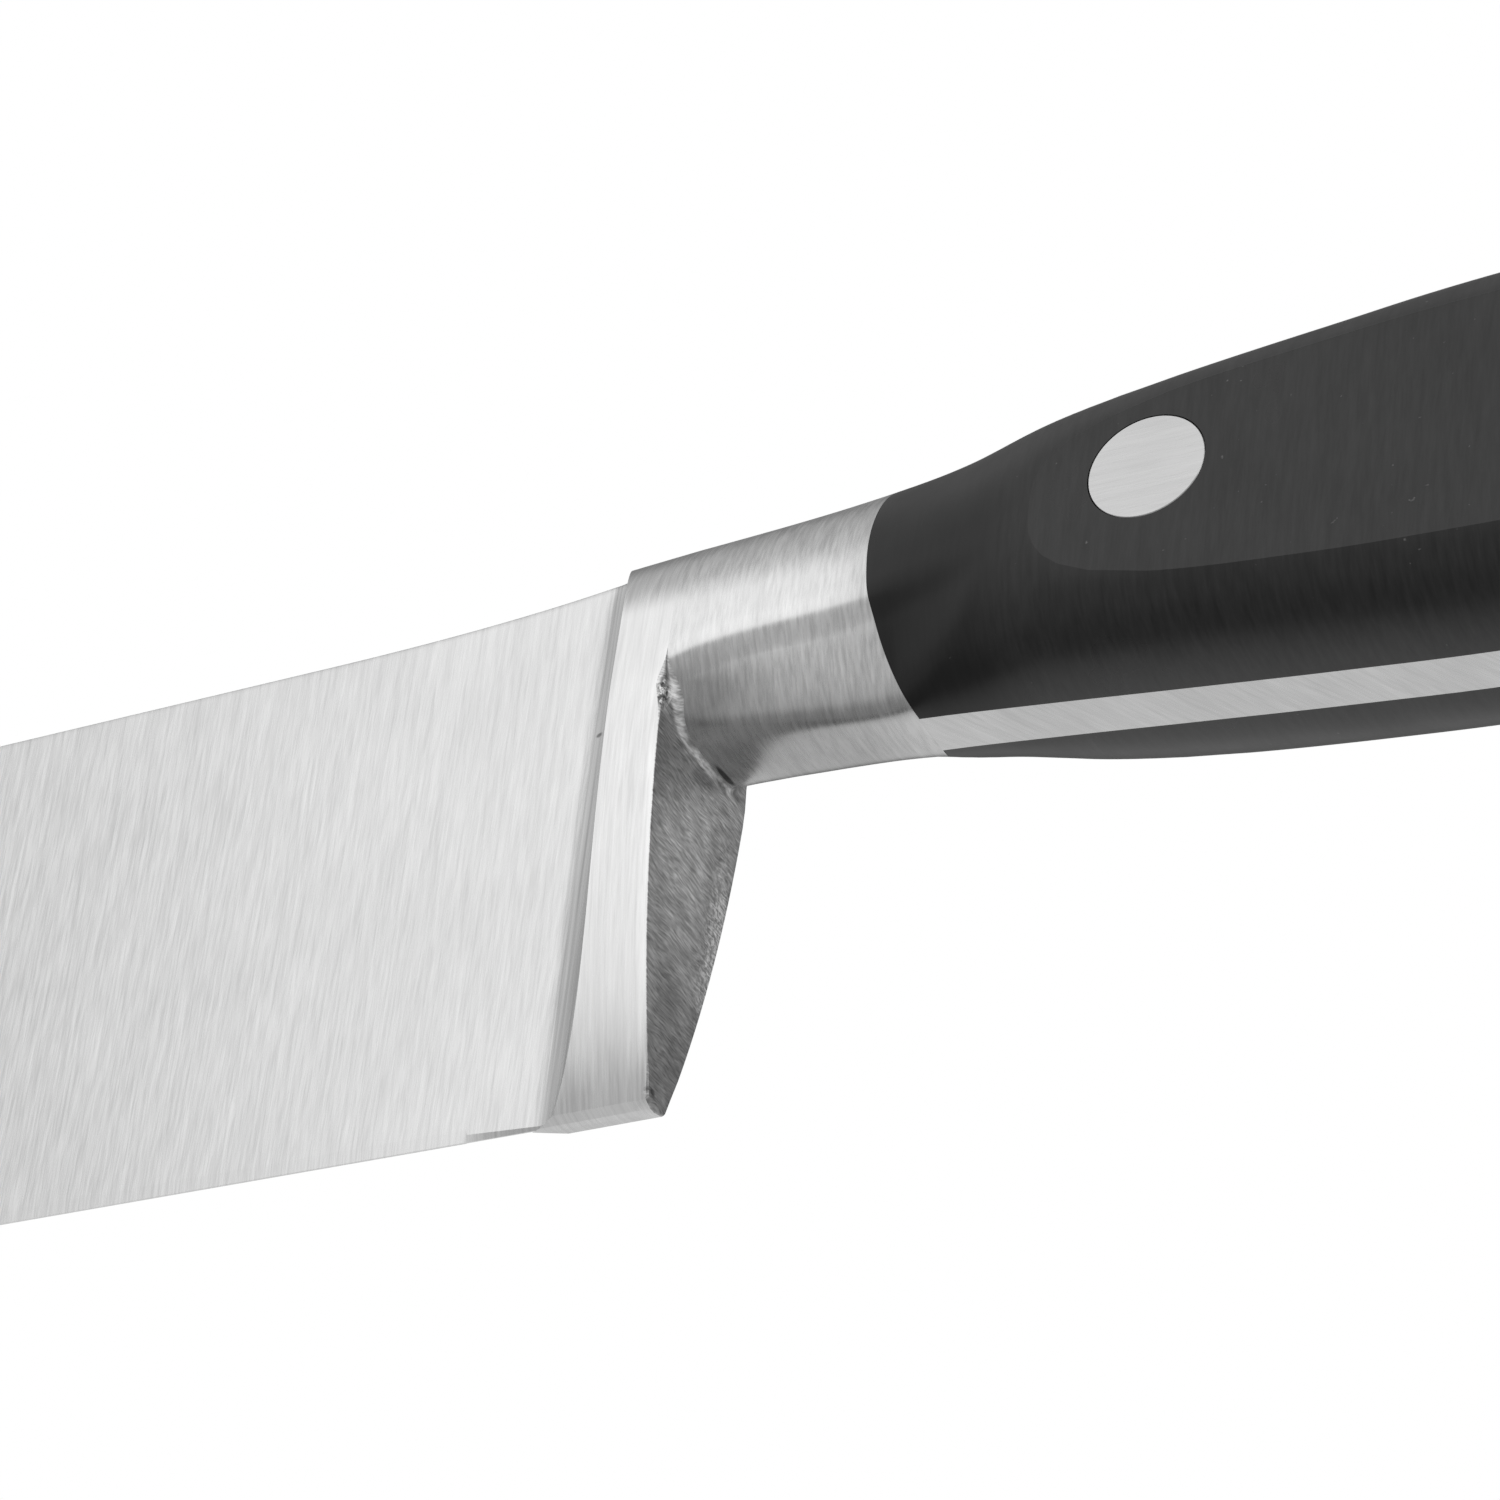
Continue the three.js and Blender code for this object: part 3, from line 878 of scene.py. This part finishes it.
def build_forging(materials):
    blade = blade_stations()
    stations = {
        "blade": blade,
        "ramp": cove_stations(blade[-1]),
        "bolster": bolster_stations(),
        "back": back_edge_stations() + back_face_stations() + fillet_stations(),
        "collar": collar_stations(),
        "tang": tang_stations(),
    }
    finishes = []
    rings = []
    last = {}
    for number, (name, half_rings) in enumerate(stations.items()):
        finishes += [number] * len(half_rings)
        rings += [whole_ring(ring) for ring in half_rings]
        last[name] = len(rings) - 1
    bm = bmesh.new()
    lines = skin(bm, rings, finishes)
    foot_lines = lines[: last["bolster"] + 1]
    for index in FOOT_CHAMFER:
        mark_sharp(pairs_along(foot_lines, index) + pairs_along(foot_lines, -index))
    ramp_end = lines[last["ramp"]]
    mark_sharp(zip(ramp_end, [*ramp_end[1:], ramp_end[0]]))
    piece = finish_mesh(bm, "knife_forging", [materials[name] for name in stations])
    for name in RIVET_NAMES:
        cut(piece, tang_hole(*rivet_centre(name), materials["tang"]))
    sharpen(piece, 32)
    return piece


def scale_half_ring(x):
    """The outer outline of a scale at x, from the belly to the top, with its flat between creases."""
    half, middle, height, top_round, _ = handle_size(x)
    lower, _ = cut_at(lower_quarter(x), 0, TANG_HALF)
    upper, _ = cut_at(quarter(half, height, top_round) + (0, middle), 0, TANG_HALF)
    low_crease = high_crease = (half, middle)
    if half > FLAT_HALF:
        _, lower = cut_at(lower, 0, FLAT_HALF)
        _, upper = cut_at(upper, 0, FLAT_HALF)
        low_crease, high_crease = lower[0], upper[0]
    flat = np.vstack([low_crease, high_crease])
    return np.vstack([
        resample(lower[::-1], SCALE_BELLY_POINTS),
        resample(flat, SCALE_FLAT_POINTS)[1:],
        resample(upper, SCALE_TOP_POINTS)[1:],
    ])


SCALE_FRONT_XS = np.linspace(*SCALE_TABLE_XS, 40)
SCALE_FRONT_TABLE = np.array([scale_half_ring(x) for x in SCALE_FRONT_XS])


def scale_front_point(index, x):
    return table_point(SCALE_FRONT_XS, SCALE_FRONT_TABLE, index, x)


def scale_front_ring(share):
    """A ring between the slanted joint, at 0, and the first upright ring, at 1."""
    ring = []
    for index in range(SCALE_BELLY_POINTS + SCALE_FLAT_POINTS + SCALE_TOP_POINTS + 1):
        x = JOINT_TOP[0]
        for _ in range(JOINT_ROUNDS):
            start = joint_x(scale_front_point(index, x)[1]) + JOINT_GAP
            x = mix(start, SCALE_FRONT_END_X, share)
        ring.append((x, *scale_front_point(index, x)))
    return ring


def closed_scale_ring(ring):
    """The outer outline of the left scale, closed along the tang."""
    first, last = np.array(ring[0]), np.array(ring[-1])
    inner = [mix(last, first, k / SCALE_INNER_POINTS) for k in range(1, SCALE_INNER_POINTS)]
    return [(x, -y, z) for x, y, z in [*ring, *inner]]


def scale_stations():
    """Closed rings of the left scale, from the joint to the butt."""
    rings = [scale_front_ring(k / SCALE_FRONT_STEPS) for k in range(SCALE_FRONT_STEPS + 1)]
    widening = HANDLE_TABLE[HANDLE_TABLE[:, 0] < WIDENING_END_X]
    flat_start_x = float(np.interp(FLAT_HALF, widening[:, 1], widening[:, 0]))
    xs = list(np.linspace(SCALE_FRONT_END_X, flat_start_x, 14)[1:])
    xs += [flat_start_x + CREASE_FINENESS * CREASE_GROWTH ** k for k in range(1, 13)]
    xs += list(np.linspace(xs[-1], BUTT_START_X, 90)[1:])
    xs += butt_xs(butt_end_x(TANG_HALF + TANG_CLEARANCE), 20)
    for x in xs:
        rings.append([(x, y, z) for y, z in scale_half_ring(x)])
    return [closed_scale_ring(ring) for ring in rings]


def rivet_hole(x, z, material):
    seat = FLAT_HALF - HEAD_LENGTH - RIVET_CLEARANCE
    wide = HEAD_RADIUS + RIVET_CLEARANCE
    narrow = TUBE_RADIUS + RIVET_CLEARANCE
    outside = FLAT_HALF + OVERCUT
    outline = [
        (0, -outside), (wide, -outside), (wide, -seat), (narrow, -seat),
        (narrow, seat), (wide, seat), (wide, outside), (0, outside),
    ]
    return turned("hole", outline, x, z, material)


def build_scale(side, material):
    """One handle scale: -1 is the left one, 1 the right one."""
    bm = bmesh.new()
    lines = skin(bm, [[(x, -side * y, z) for x, y, z in ring] for ring in scale_stations()])
    for index in (SCALE_BELLY_POINTS, SCALE_BELLY_POINTS + SCALE_FLAT_POINTS):
        crease = pairs_along(lines, index)
        mark_sharp(pair for pair in crease if pair[0].co.x > CREASE_START_X * MM)
    piece = finish_mesh(bm, "scale_left" if side < 0 else "scale_right", [material])
    for name in RIVET_NAMES:
        cut(piece, rivet_hole(*rivet_centre(name), material))
    sharpen(piece, 40)
    return piece


def build_rivets(material):
    outer, inner = FLAT_HALF, FLAT_HALF - HEAD_LENGTH
    female = [
        (0, -outer),
        (HEAD_RADIUS - HEAD_CHAMFER, -outer),
        (HEAD_RADIUS, -outer + HEAD_CHAMFER),
        (HEAD_RADIUS, -inner - HEAD_CHAMFER),
        (HEAD_RADIUS - HEAD_CHAMFER, -inner),
        (TUBE_RADIUS, -inner),
        (TUBE_RADIUS, TUBE_END_Y - HEAD_CHAMFER),
        (TUBE_RADIUS - HEAD_CHAMFER, TUBE_END_Y),
        (PIN_RADIUS + RIVET_CLEARANCE, TUBE_END_Y),
        (PIN_RADIUS + RIVET_CLEARANCE, BORE_END_Y),
        (0, BORE_END_Y),
    ]
    male = [
        (0, PIN_END_Y),
        (PIN_RADIUS - HEAD_CHAMFER, PIN_END_Y),
        (PIN_RADIUS, PIN_END_Y + HEAD_CHAMFER),
        (PIN_RADIUS, inner),
        (HEAD_RADIUS - HEAD_CHAMFER, inner),
        (HEAD_RADIUS, inner + HEAD_CHAMFER),
        (HEAD_RADIUS, outer - HEAD_CHAMFER),
        (HEAD_RADIUS - HEAD_CHAMFER, outer),
        (0, outer),
    ]
    rivets = {}
    for name in RIVET_NAMES:
        for kind, outline in (("female", female), ("male", male)):
            piece = turned(f"rivet_{name}_{kind}_half", outline, *rivet_centre(name), material)
            sharpen(piece, 30)
            rivets[f"rivet_{name}_{kind}"] = piece
    return rivets


# ---- materials ----


def new_material(name):
    material = bpy.data.materials.new(name)
    material.use_nodes = True
    nodes = material.node_tree.nodes
    nodes.clear()
    shader = nodes.new("ShaderNodeBsdfPrincipled")
    output = nodes.new("ShaderNodeOutputMaterial")
    material.node_tree.links.new(shader.outputs["BSDF"], output.inputs["Surface"])
    return material, shader


def set_inputs(owner, node, values):
    """Sets a node's inputs in a material or world: to numbers, or linked to other nodes' outputs."""
    for key, value in values.items():
        if isinstance(value, bpy.types.NodeSocket):
            owner.node_tree.links.new(value, node.inputs[key])
        else:
            node.inputs[key].default_value = value


def add_node(owner, kind, values=None, **settings):
    node = owner.node_tree.nodes.new(kind)
    for key, value in settings.items():
        setattr(node, key, value)
    set_inputs(owner, node, values or {})
    return node


def wandering(material, where, amount):
    """Coordinates moved smoothly and at random, within a range of this many metres."""
    cloud = add_node(
        material, "ShaderNodeTexNoise", {"Vector": where, "Scale": 380.0, "Detail": 1.0}
    ).outputs["Color"]
    centred = add_node(
        material, "ShaderNodeVectorMath", {0: cloud, 1: (0.5, 0.5, 0.5)}, operation="SUBTRACT"
    ).outputs["Vector"]
    move = add_node(
        material, "ShaderNodeVectorMath", {0: centred, "Scale": amount}, operation="SCALE"
    ).outputs["Vector"]
    return add_node(
        material, "ShaderNodeVectorMath", {0: where, 1: move}, operation="ADD"
    ).outputs["Vector"]


def stretched(material, stretch, turn=(0, 0, 0), bend=0.0):
    """Object coordinates turned and stretched, for a texture that runs along one direction."""
    where = add_node(material, "ShaderNodeTexCoord").outputs["Object"]
    if bend:
        where = wandering(material, where, bend)
    turned_place = add_node(
        material, "ShaderNodeMapping", {"Vector": where, "Rotation": turn}
    ).outputs["Vector"]
    return add_node(
        material, "ShaderNodeMapping", {"Vector": turned_place, "Scale": stretch}
    ).outputs["Vector"]


def noise(material, vector, scale, detail=3.0, roughness=0.6):
    return add_node(
        material,
        "ShaderNodeTexNoise",
        {"Vector": vector, "Scale": scale, "Detail": detail, "Roughness": roughness},
    ).outputs["Fac"]


def remap(material, value, low, high, to_low, to_high):
    return add_node(
        material,
        "ShaderNodeMapRange",
        {"Value": value, "From Min": low, "From Max": high, "To Min": to_low, "To Max": to_high},
    ).outputs["Result"]


def math_node(owner, operation, a, b):
    return add_node(owner, "ShaderNodeMath", {0: a, 1: b}, operation=operation).outputs[0]


def times(owner, a, b):
    return math_node(owner, "MULTIPLY", a, b)


def grey_times(material, grey, factor):
    """A grey colour from a number, multiplied by another."""
    value = times(material, factor, grey)
    return add_node(
        material, "ShaderNodeCombineColor", {"Red": value, "Green": value, "Blue": value}
    ).outputs["Color"]


def patch(material, centre, size, softness=0.5):
    """1 inside an ellipsoid at a place on the knife, in millimetres, and 0 outside it."""
    where = add_node(material, "ShaderNodeTexCoord").outputs["Object"]
    scale = [1 / (value * MM) for value in size]
    shift = [-value * MM * factor for value, factor in zip(centre, scale)]
    place = add_node(
        material, "ShaderNodeMapping", {"Vector": where, "Location": shift, "Scale": scale}
    ).outputs["Vector"]
    length = add_node(material, "ShaderNodeVectorMath", {0: place}, operation="LENGTH").outputs["Value"]
    return remap(material, length, 1 - softness, 1 + softness, 1.0, 0.0)


NOISE_RANGE = (0.3, 0.7)    # where most of a noise texture's values lie
PIT_DEPTH = 14              # how deep a mark's pits are, next to the brushed lines


def brushed_steel(
    name, grey, roughness, across, turn=(0, 0, 0), contrast=0.1, depth=6e-6, blotch=0.04,
    cloud_size=90, bend=0.0, marks=(),
):
    """Steel with fine lines. across is how often the lines repeat per metre along x, y and z.

    marks are (centre, size, darkening, pitting, softness): small flaws left by forging and grinding,
    and soft patches of painted shade and painted highlight.
    bend, in metres, is how far the lines wander; cloud_size is how often the blotches repeat per metre.
    """
    material, shader = new_material(name)
    fine = noise(material, stretched(material, across, turn, bend), 1.0, 3.0, 0.6)
    coarse_across = [value * 0.4 for value in across]
    coarse = noise(material, stretched(material, coarse_across, turn, bend), 1.0, 2.0, 0.5)
    cloud = noise(material, stretched(material, [cloud_size] * 3), 1.0, 2.0, 0.5)
    lines = remap(material, fine, *NOISE_RANGE, 1 - contrast, 1 + contrast)
    bands = remap(material, coarse, *NOISE_RANGE, 1 - contrast / 3, 1 + contrast / 3)
    clouds = remap(material, cloud, *NOISE_RANGE, 1 - blotch, 1 + blotch)
    shade = times(material, times(material, lines, bands), clouds)
    height = math_node(material, "ADD", fine, coarse)
    for centre, size, darkening, pitting, softness in marks:
        inside = patch(material, centre, size, softness)
        pits = noise(material, stretched(material, (2600, 2600, 2600)), 1.0, 2.0, 0.6)
        spots = remap(material, pits, 0.46, 0.56, 1.0, 1 - pitting)
        kept = math_node(material, "SUBTRACT", 1.0, times(material, inside, darkening))
        spotted = times(material, kept, spots)
        plain = math_node(material, "SUBTRACT", 1.0, inside)
        marked = math_node(material, "ADD", plain, times(material, inside, spotted))
        shade = times(material, shade, marked)
        pocks = times(material, times(material, pits, inside), pitting * PIT_DEPTH)
        height = math_node(material, "SUBTRACT", height, pocks)
    bump = add_node(material, "ShaderNodeBump", {"Height": height, "Strength": 1.0, "Distance": depth})
    set_inputs(material, shader, {
        "Base Color": grey_times(material, grey, shade),
        "Roughness": remap(material, fine, *NOISE_RANGE, roughness - 0.05, roughness + 0.06),
        "Normal": bump.outputs["Normal"],
        "Metallic": 1.0,
    })
    return material


NECK_SHADE = ((53.0, 0.0, 35.0), (7.0, 14.0, 16.0), 0.2)   # painted shade: the neck's plastic is made darker


def black_plastic(name):
    """Moulded black plastic, with faint lines from finishing, tiny light specks and painted shade on
    the neck.
    """
    material, shader = new_material(name)
    lines = noise(material, stretched(material, (2400, 500, 300)), 1.0, 3.0, 0.6)
    cloud = noise(material, stretched(material, (150, 150, 150)), 1.0, 3.0, 0.5)
    specks = noise(material, stretched(material, (1600, 1600, 1600)), 1.0, 2.0, 0.5)
    speck = remap(material, specks, 0.75, 0.82, 0.0, 0.10)
    base = remap(material, lines, *NOISE_RANGE, 0.010, 0.020)
    # painted shade on the neck
    neck_shade = times(material, patch(material, *NECK_SHADE), 0.7)
    shaded_base = times(material, base, math_node(material, "SUBTRACT", 1.0, neck_shade))
    value = math_node(material, "ADD", shaded_base, speck)
    bump = add_node(material, "ShaderNodeBump", {"Height": lines, "Strength": 1.0, "Distance": 4e-6})
    set_inputs(material, shader, {
        "Base Color": grey_times(material, 1.0, value),
        "Specular IOR Level": 0.30,
        "Roughness": remap(material, cloud, *NOISE_RANGE, 0.26, 0.35),
        "Normal": bump.outputs["Normal"],
    })
    return material


# Small flaws, and soft patches of painted shade and painted highlight: centre, size, how much darker
# (below zero makes it lighter), how pitted, and how soft their rim is.
# Pits beside the root, on a painted highlight: the negative darkening makes the patch lighter.
ROOT_PITS_AND_HIGHLIGHT = ((34.2, -6.0, 28.6), (0.55, 0.8, 1.25), -0.35, 0.8, 0.2)
# Painted shade over the fillet's upper part, taking a lit band down to the facet's tone.
ROOT_FILLET_SHADE = ((35.1, -5.2, 29.0), (0.7, 0.9, 2.0), 0.34, 0.0, 0.3)
# Painted shade on the collar beside the root.
ROOT_SHADE = ((35.0, -5.0, 28.8), (6.5, 5.5, 2.6), 0.42, 0.0, 0.6)
# Painted shade under the collar's belly, near the root.
BELLY_SHADE = ((40.0, 1.0, 25.2), (14.0, 7.5, 3.0), 0.43, 0.0, 0.5)
# Painted highlight on the back face: the negative darkening makes it lighter.
BACK_GLOW = ((34.0, -1.5, 21.0), (2.0, 5.0, 8.0), -0.30, 0.0, 0.6)
# Painted shade on the back face, darker towards the foot.
BACK_FOOT_SHADE = ((34.3, 0.0, 4.0), (2.0, 4.0, 8.0), 0.36, 0.0, 0.5)
BACK_SPECKS = ((34.2, 4.4, 14.0), (2.0, 1.5, 8.0), -0.90, 0.45, 0.6)
GOUGE = ((34.9, 1.7, 26.8), (0.26, 1.6, 0.5), 0.8, 0.2, 0.3)
# Painted shadow along the crease where the fillet meets the collar, under the belly.
CREASE_SHADOW_NEAR = ((34.2, 2.6, 26.85), (0.5, 1.3, 0.20), 0.55, 0.1, 0.5)
CREASE_SHADOW_FAR = ((34.2, 4.5, 27.55), (0.5, 1.0, 0.38), 0.55, 0.1, 0.5)
# Painted shade on the bolster, darker towards its foot.
FOOT_SHADE = ((30.0, 0.0, -1.0), (9.0, 8.0, 6.0), 0.17, 0.0, 0.6)
RAMP_NICK = ((26.6, -1.4, 30.1), (0.30, 0.5, 0.18), 0.6, 0.2, 0.4)
HEEL_NICK = ((34.3, -0.8, 0.8), (0.35, 0.45, 0.30), 0.65, 0.3, 0.3)


def steel_finishes():
    return {
        "blade": brushed_steel(
            "ground_blade", 0.58, 0.26, (4000, 280, 280), contrast=0.12, blotch=0.02, marks=[RAMP_NICK]
        ),
        "ramp": brushed_steel(
            "ground_ramp", 0.59, 0.27, (3300, 60, 60), contrast=0.20, marks=[RAMP_NICK]
        ),
        "bolster": brushed_steel(
            "brushed_bolster", 0.615, 0.24, (3600, 200, 200), contrast=0.13,
            marks=[HEEL_NICK, FOOT_SHADE],
        ),
        "back": brushed_steel(
            "ground_back", 0.485, 0.36, (2200, 1000, 8200), contrast=0.50, depth=1.7e-5,
            blotch=0.18, cloud_size=500, bend=0.0007,
            marks=[
                ROOT_PITS_AND_HIGHLIGHT, ROOT_FILLET_SHADE, HEEL_NICK, GOUGE, CREASE_SHADOW_NEAR, CREASE_SHADOW_FAR,
                BACK_GLOW, BACK_FOOT_SHADE, BACK_SPECKS,
            ],
        ),
        "collar": brushed_steel(
            "brushed_collar", 0.60, 0.27, (3800, 480, 480), contrast=0.15,
            marks=[ROOT_PITS_AND_HIGHLIGHT, ROOT_SHADE, BELLY_SHADE, GOUGE, CREASE_SHADOW_NEAR, CREASE_SHADOW_FAR],
        ),
        "tang": brushed_steel("ground_tang", 0.48, 0.26, (3200, 300, 90), (0, 0, math.radians(35))),
    }


# ---- stage ----

FLOOR_HALF = 6.0            # metres
FLOOR_Z = -1.0


def build_floor():
    bm = bmesh.new()
    size = FLOOR_HALF
    corners = [(-size, -size), (size, -size), (size, size), (-size, size)]
    bm.faces.new([bm.verts.new((x, y, 0)) for x, y in corners])
    material, shader = new_material("pale_floor")
    set_inputs(material, shader, {"Base Color": (0.88, 0.88, 0.88, 1), "Roughness": 0.9})
    floor = finish_mesh(bm, "floor", [material])
    floor.location.z = FLOOR_Z
    floor.visible_glossy = False


LEFT, UP, DOWN, BACK = (0, -1, 0), (0, 0, 1), (0, 0, -1), (1, 0, 0)


def cone(axis, rim, core):
    """A round light about an axis, dark at its rim and full at its core, in degrees from the axis."""
    return axis, math.cos(math.radians(rim)), math.cos(math.radians(core))


# The studio dome: an even level, and lights that add to it or, where negative, take away. A light is
# as strong as its number where the direction's dot product with each axis has passed its range.
DOME_LEVEL = 0.60
DOME_LIGHTS = [
    (0.07, [(UP, -0.05, 0.15)]),
    (-0.14, [(UP, 0.78, 0.96)]),
    (0.11, [(UP, 0.0, 0.16), (DOWN, -0.82, -0.63), (LEFT, -0.05, 0.75)]),
    (0.71, [(UP, 0.0, 0.16), (DOWN, -0.82, -0.63), (LEFT, -0.05, 0.75), (BACK, -0.62, -0.44)]),
    (-0.24, [cone((-0.52, -0.30, -0.80), 36, 8)]),
    (0.42, [cone((-0.47, 0.72, -0.50), 45, 12)]),
    (-0.42, [cone((-0.43, 0.69, 0.59), 50, 10)]),
    (-0.22, [cone((0.45, 0.68, 0.58), 50, 10)]),
]


def build_world():
    """A studio dome of soft lights; the camera sees plain white behind the knife."""
    world = bpy.data.worlds.new("studio")
    bpy.context.scene.world = world
    world.use_nodes = True
    world.node_tree.nodes.clear()
    direction = add_node(world, "ShaderNodeTexCoord").outputs["Generated"]
    total = DOME_LEVEL
    for strength, windows in DOME_LIGHTS:
        light = strength
        for axis, start, full in windows:
            dot = add_node(
                world,
                "ShaderNodeVectorMath",
                {0: direction, 1: Vector(axis).normalized()},
                operation="DOT_PRODUCT",
            ).outputs["Value"]
            window = add_node(
                world,
                "ShaderNodeMapRange",
                {"Value": dot, "From Min": start, "From Max": full},
                interpolation_type="SMOOTHSTEP",
            ).outputs["Result"]
            light = times(world, light, window)
        total = math_node(world, "ADD", total, light)
    white = (1, 1, 1, 1)
    dome = add_node(world, "ShaderNodeBackground", {"Color": white, "Strength": total})
    backdrop = add_node(world, "ShaderNodeBackground", {"Color": white, "Strength": 1.0})
    either = add_node(world, "ShaderNodeMixShader", {
        "Fac": add_node(world, "ShaderNodeLightPath").outputs["Is Camera Ray"],
        1: dome.outputs["Background"],
        2: backdrop.outputs["Background"],
    })
    add_node(world, "ShaderNodeOutputWorld", {"Surface": either.outputs["Shader"]})


CAMERA_AZIMUTH = 32.016
CAMERA_ELEVATION = -35.856
CAMERA_ROLL = 8.236
CAMERA_DISTANCE = 381.175
CAMERA_TARGET = (37.487, 0, 27.342)
CAMERA_LENS = 140.746


def build_camera():
    azimuth, elevation = math.radians(CAMERA_AZIMUTH), math.radians(CAMERA_ELEVATION)
    back = Vector((
        math.sin(azimuth) * math.cos(elevation),
        -math.cos(azimuth) * math.cos(elevation),
        math.sin(elevation),
    ))
    right = Vector((0, 0, 1)).cross(back).normalized()
    up = back.cross(right)
    roll = math.radians(CAMERA_ROLL)
    tilted_right = right * math.cos(roll) + up * math.sin(roll)
    tilted_up = up * math.cos(roll) - right * math.sin(roll)
    data = bpy.data.cameras.new("camera")
    data.lens = CAMERA_LENS
    data.sensor_width = 36
    data.clip_start = 0.01
    data.clip_end = 100
    camera = bpy.data.objects.new("camera", data)
    place = Matrix((tilted_right, tilted_up, back)).transposed().to_4x4()
    place.translation = (Vector(CAMERA_TARGET) + back * CAMERA_DISTANCE) * MM
    camera.matrix_world = place
    bpy.context.scene.collection.objects.link(camera)
    bpy.context.scene.camera = camera


# ---- the scene ----

build_camera()
build_floor()
build_world()
bpy.context.scene.view_settings.view_transform = "Standard"

finishes = steel_finishes()
plastic = black_plastic("black_plastic")
rivet_steel = brushed_steel("brushed_rivet", 0.46, 0.28, (380, 380, 4200), contrast=0.08)

forging = build_forging(finishes)
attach(forging, "root")
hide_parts("forged_blade")

for side, node in ((-1, "handle_scale_left"), (1, "handle_scale_right")):
    scale = build_scale(side, plastic)
    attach(scale, "root")
    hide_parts(node)

for node, rivet in build_rivets(rivet_steel).items():
    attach(rivet, "root")
    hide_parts(node)
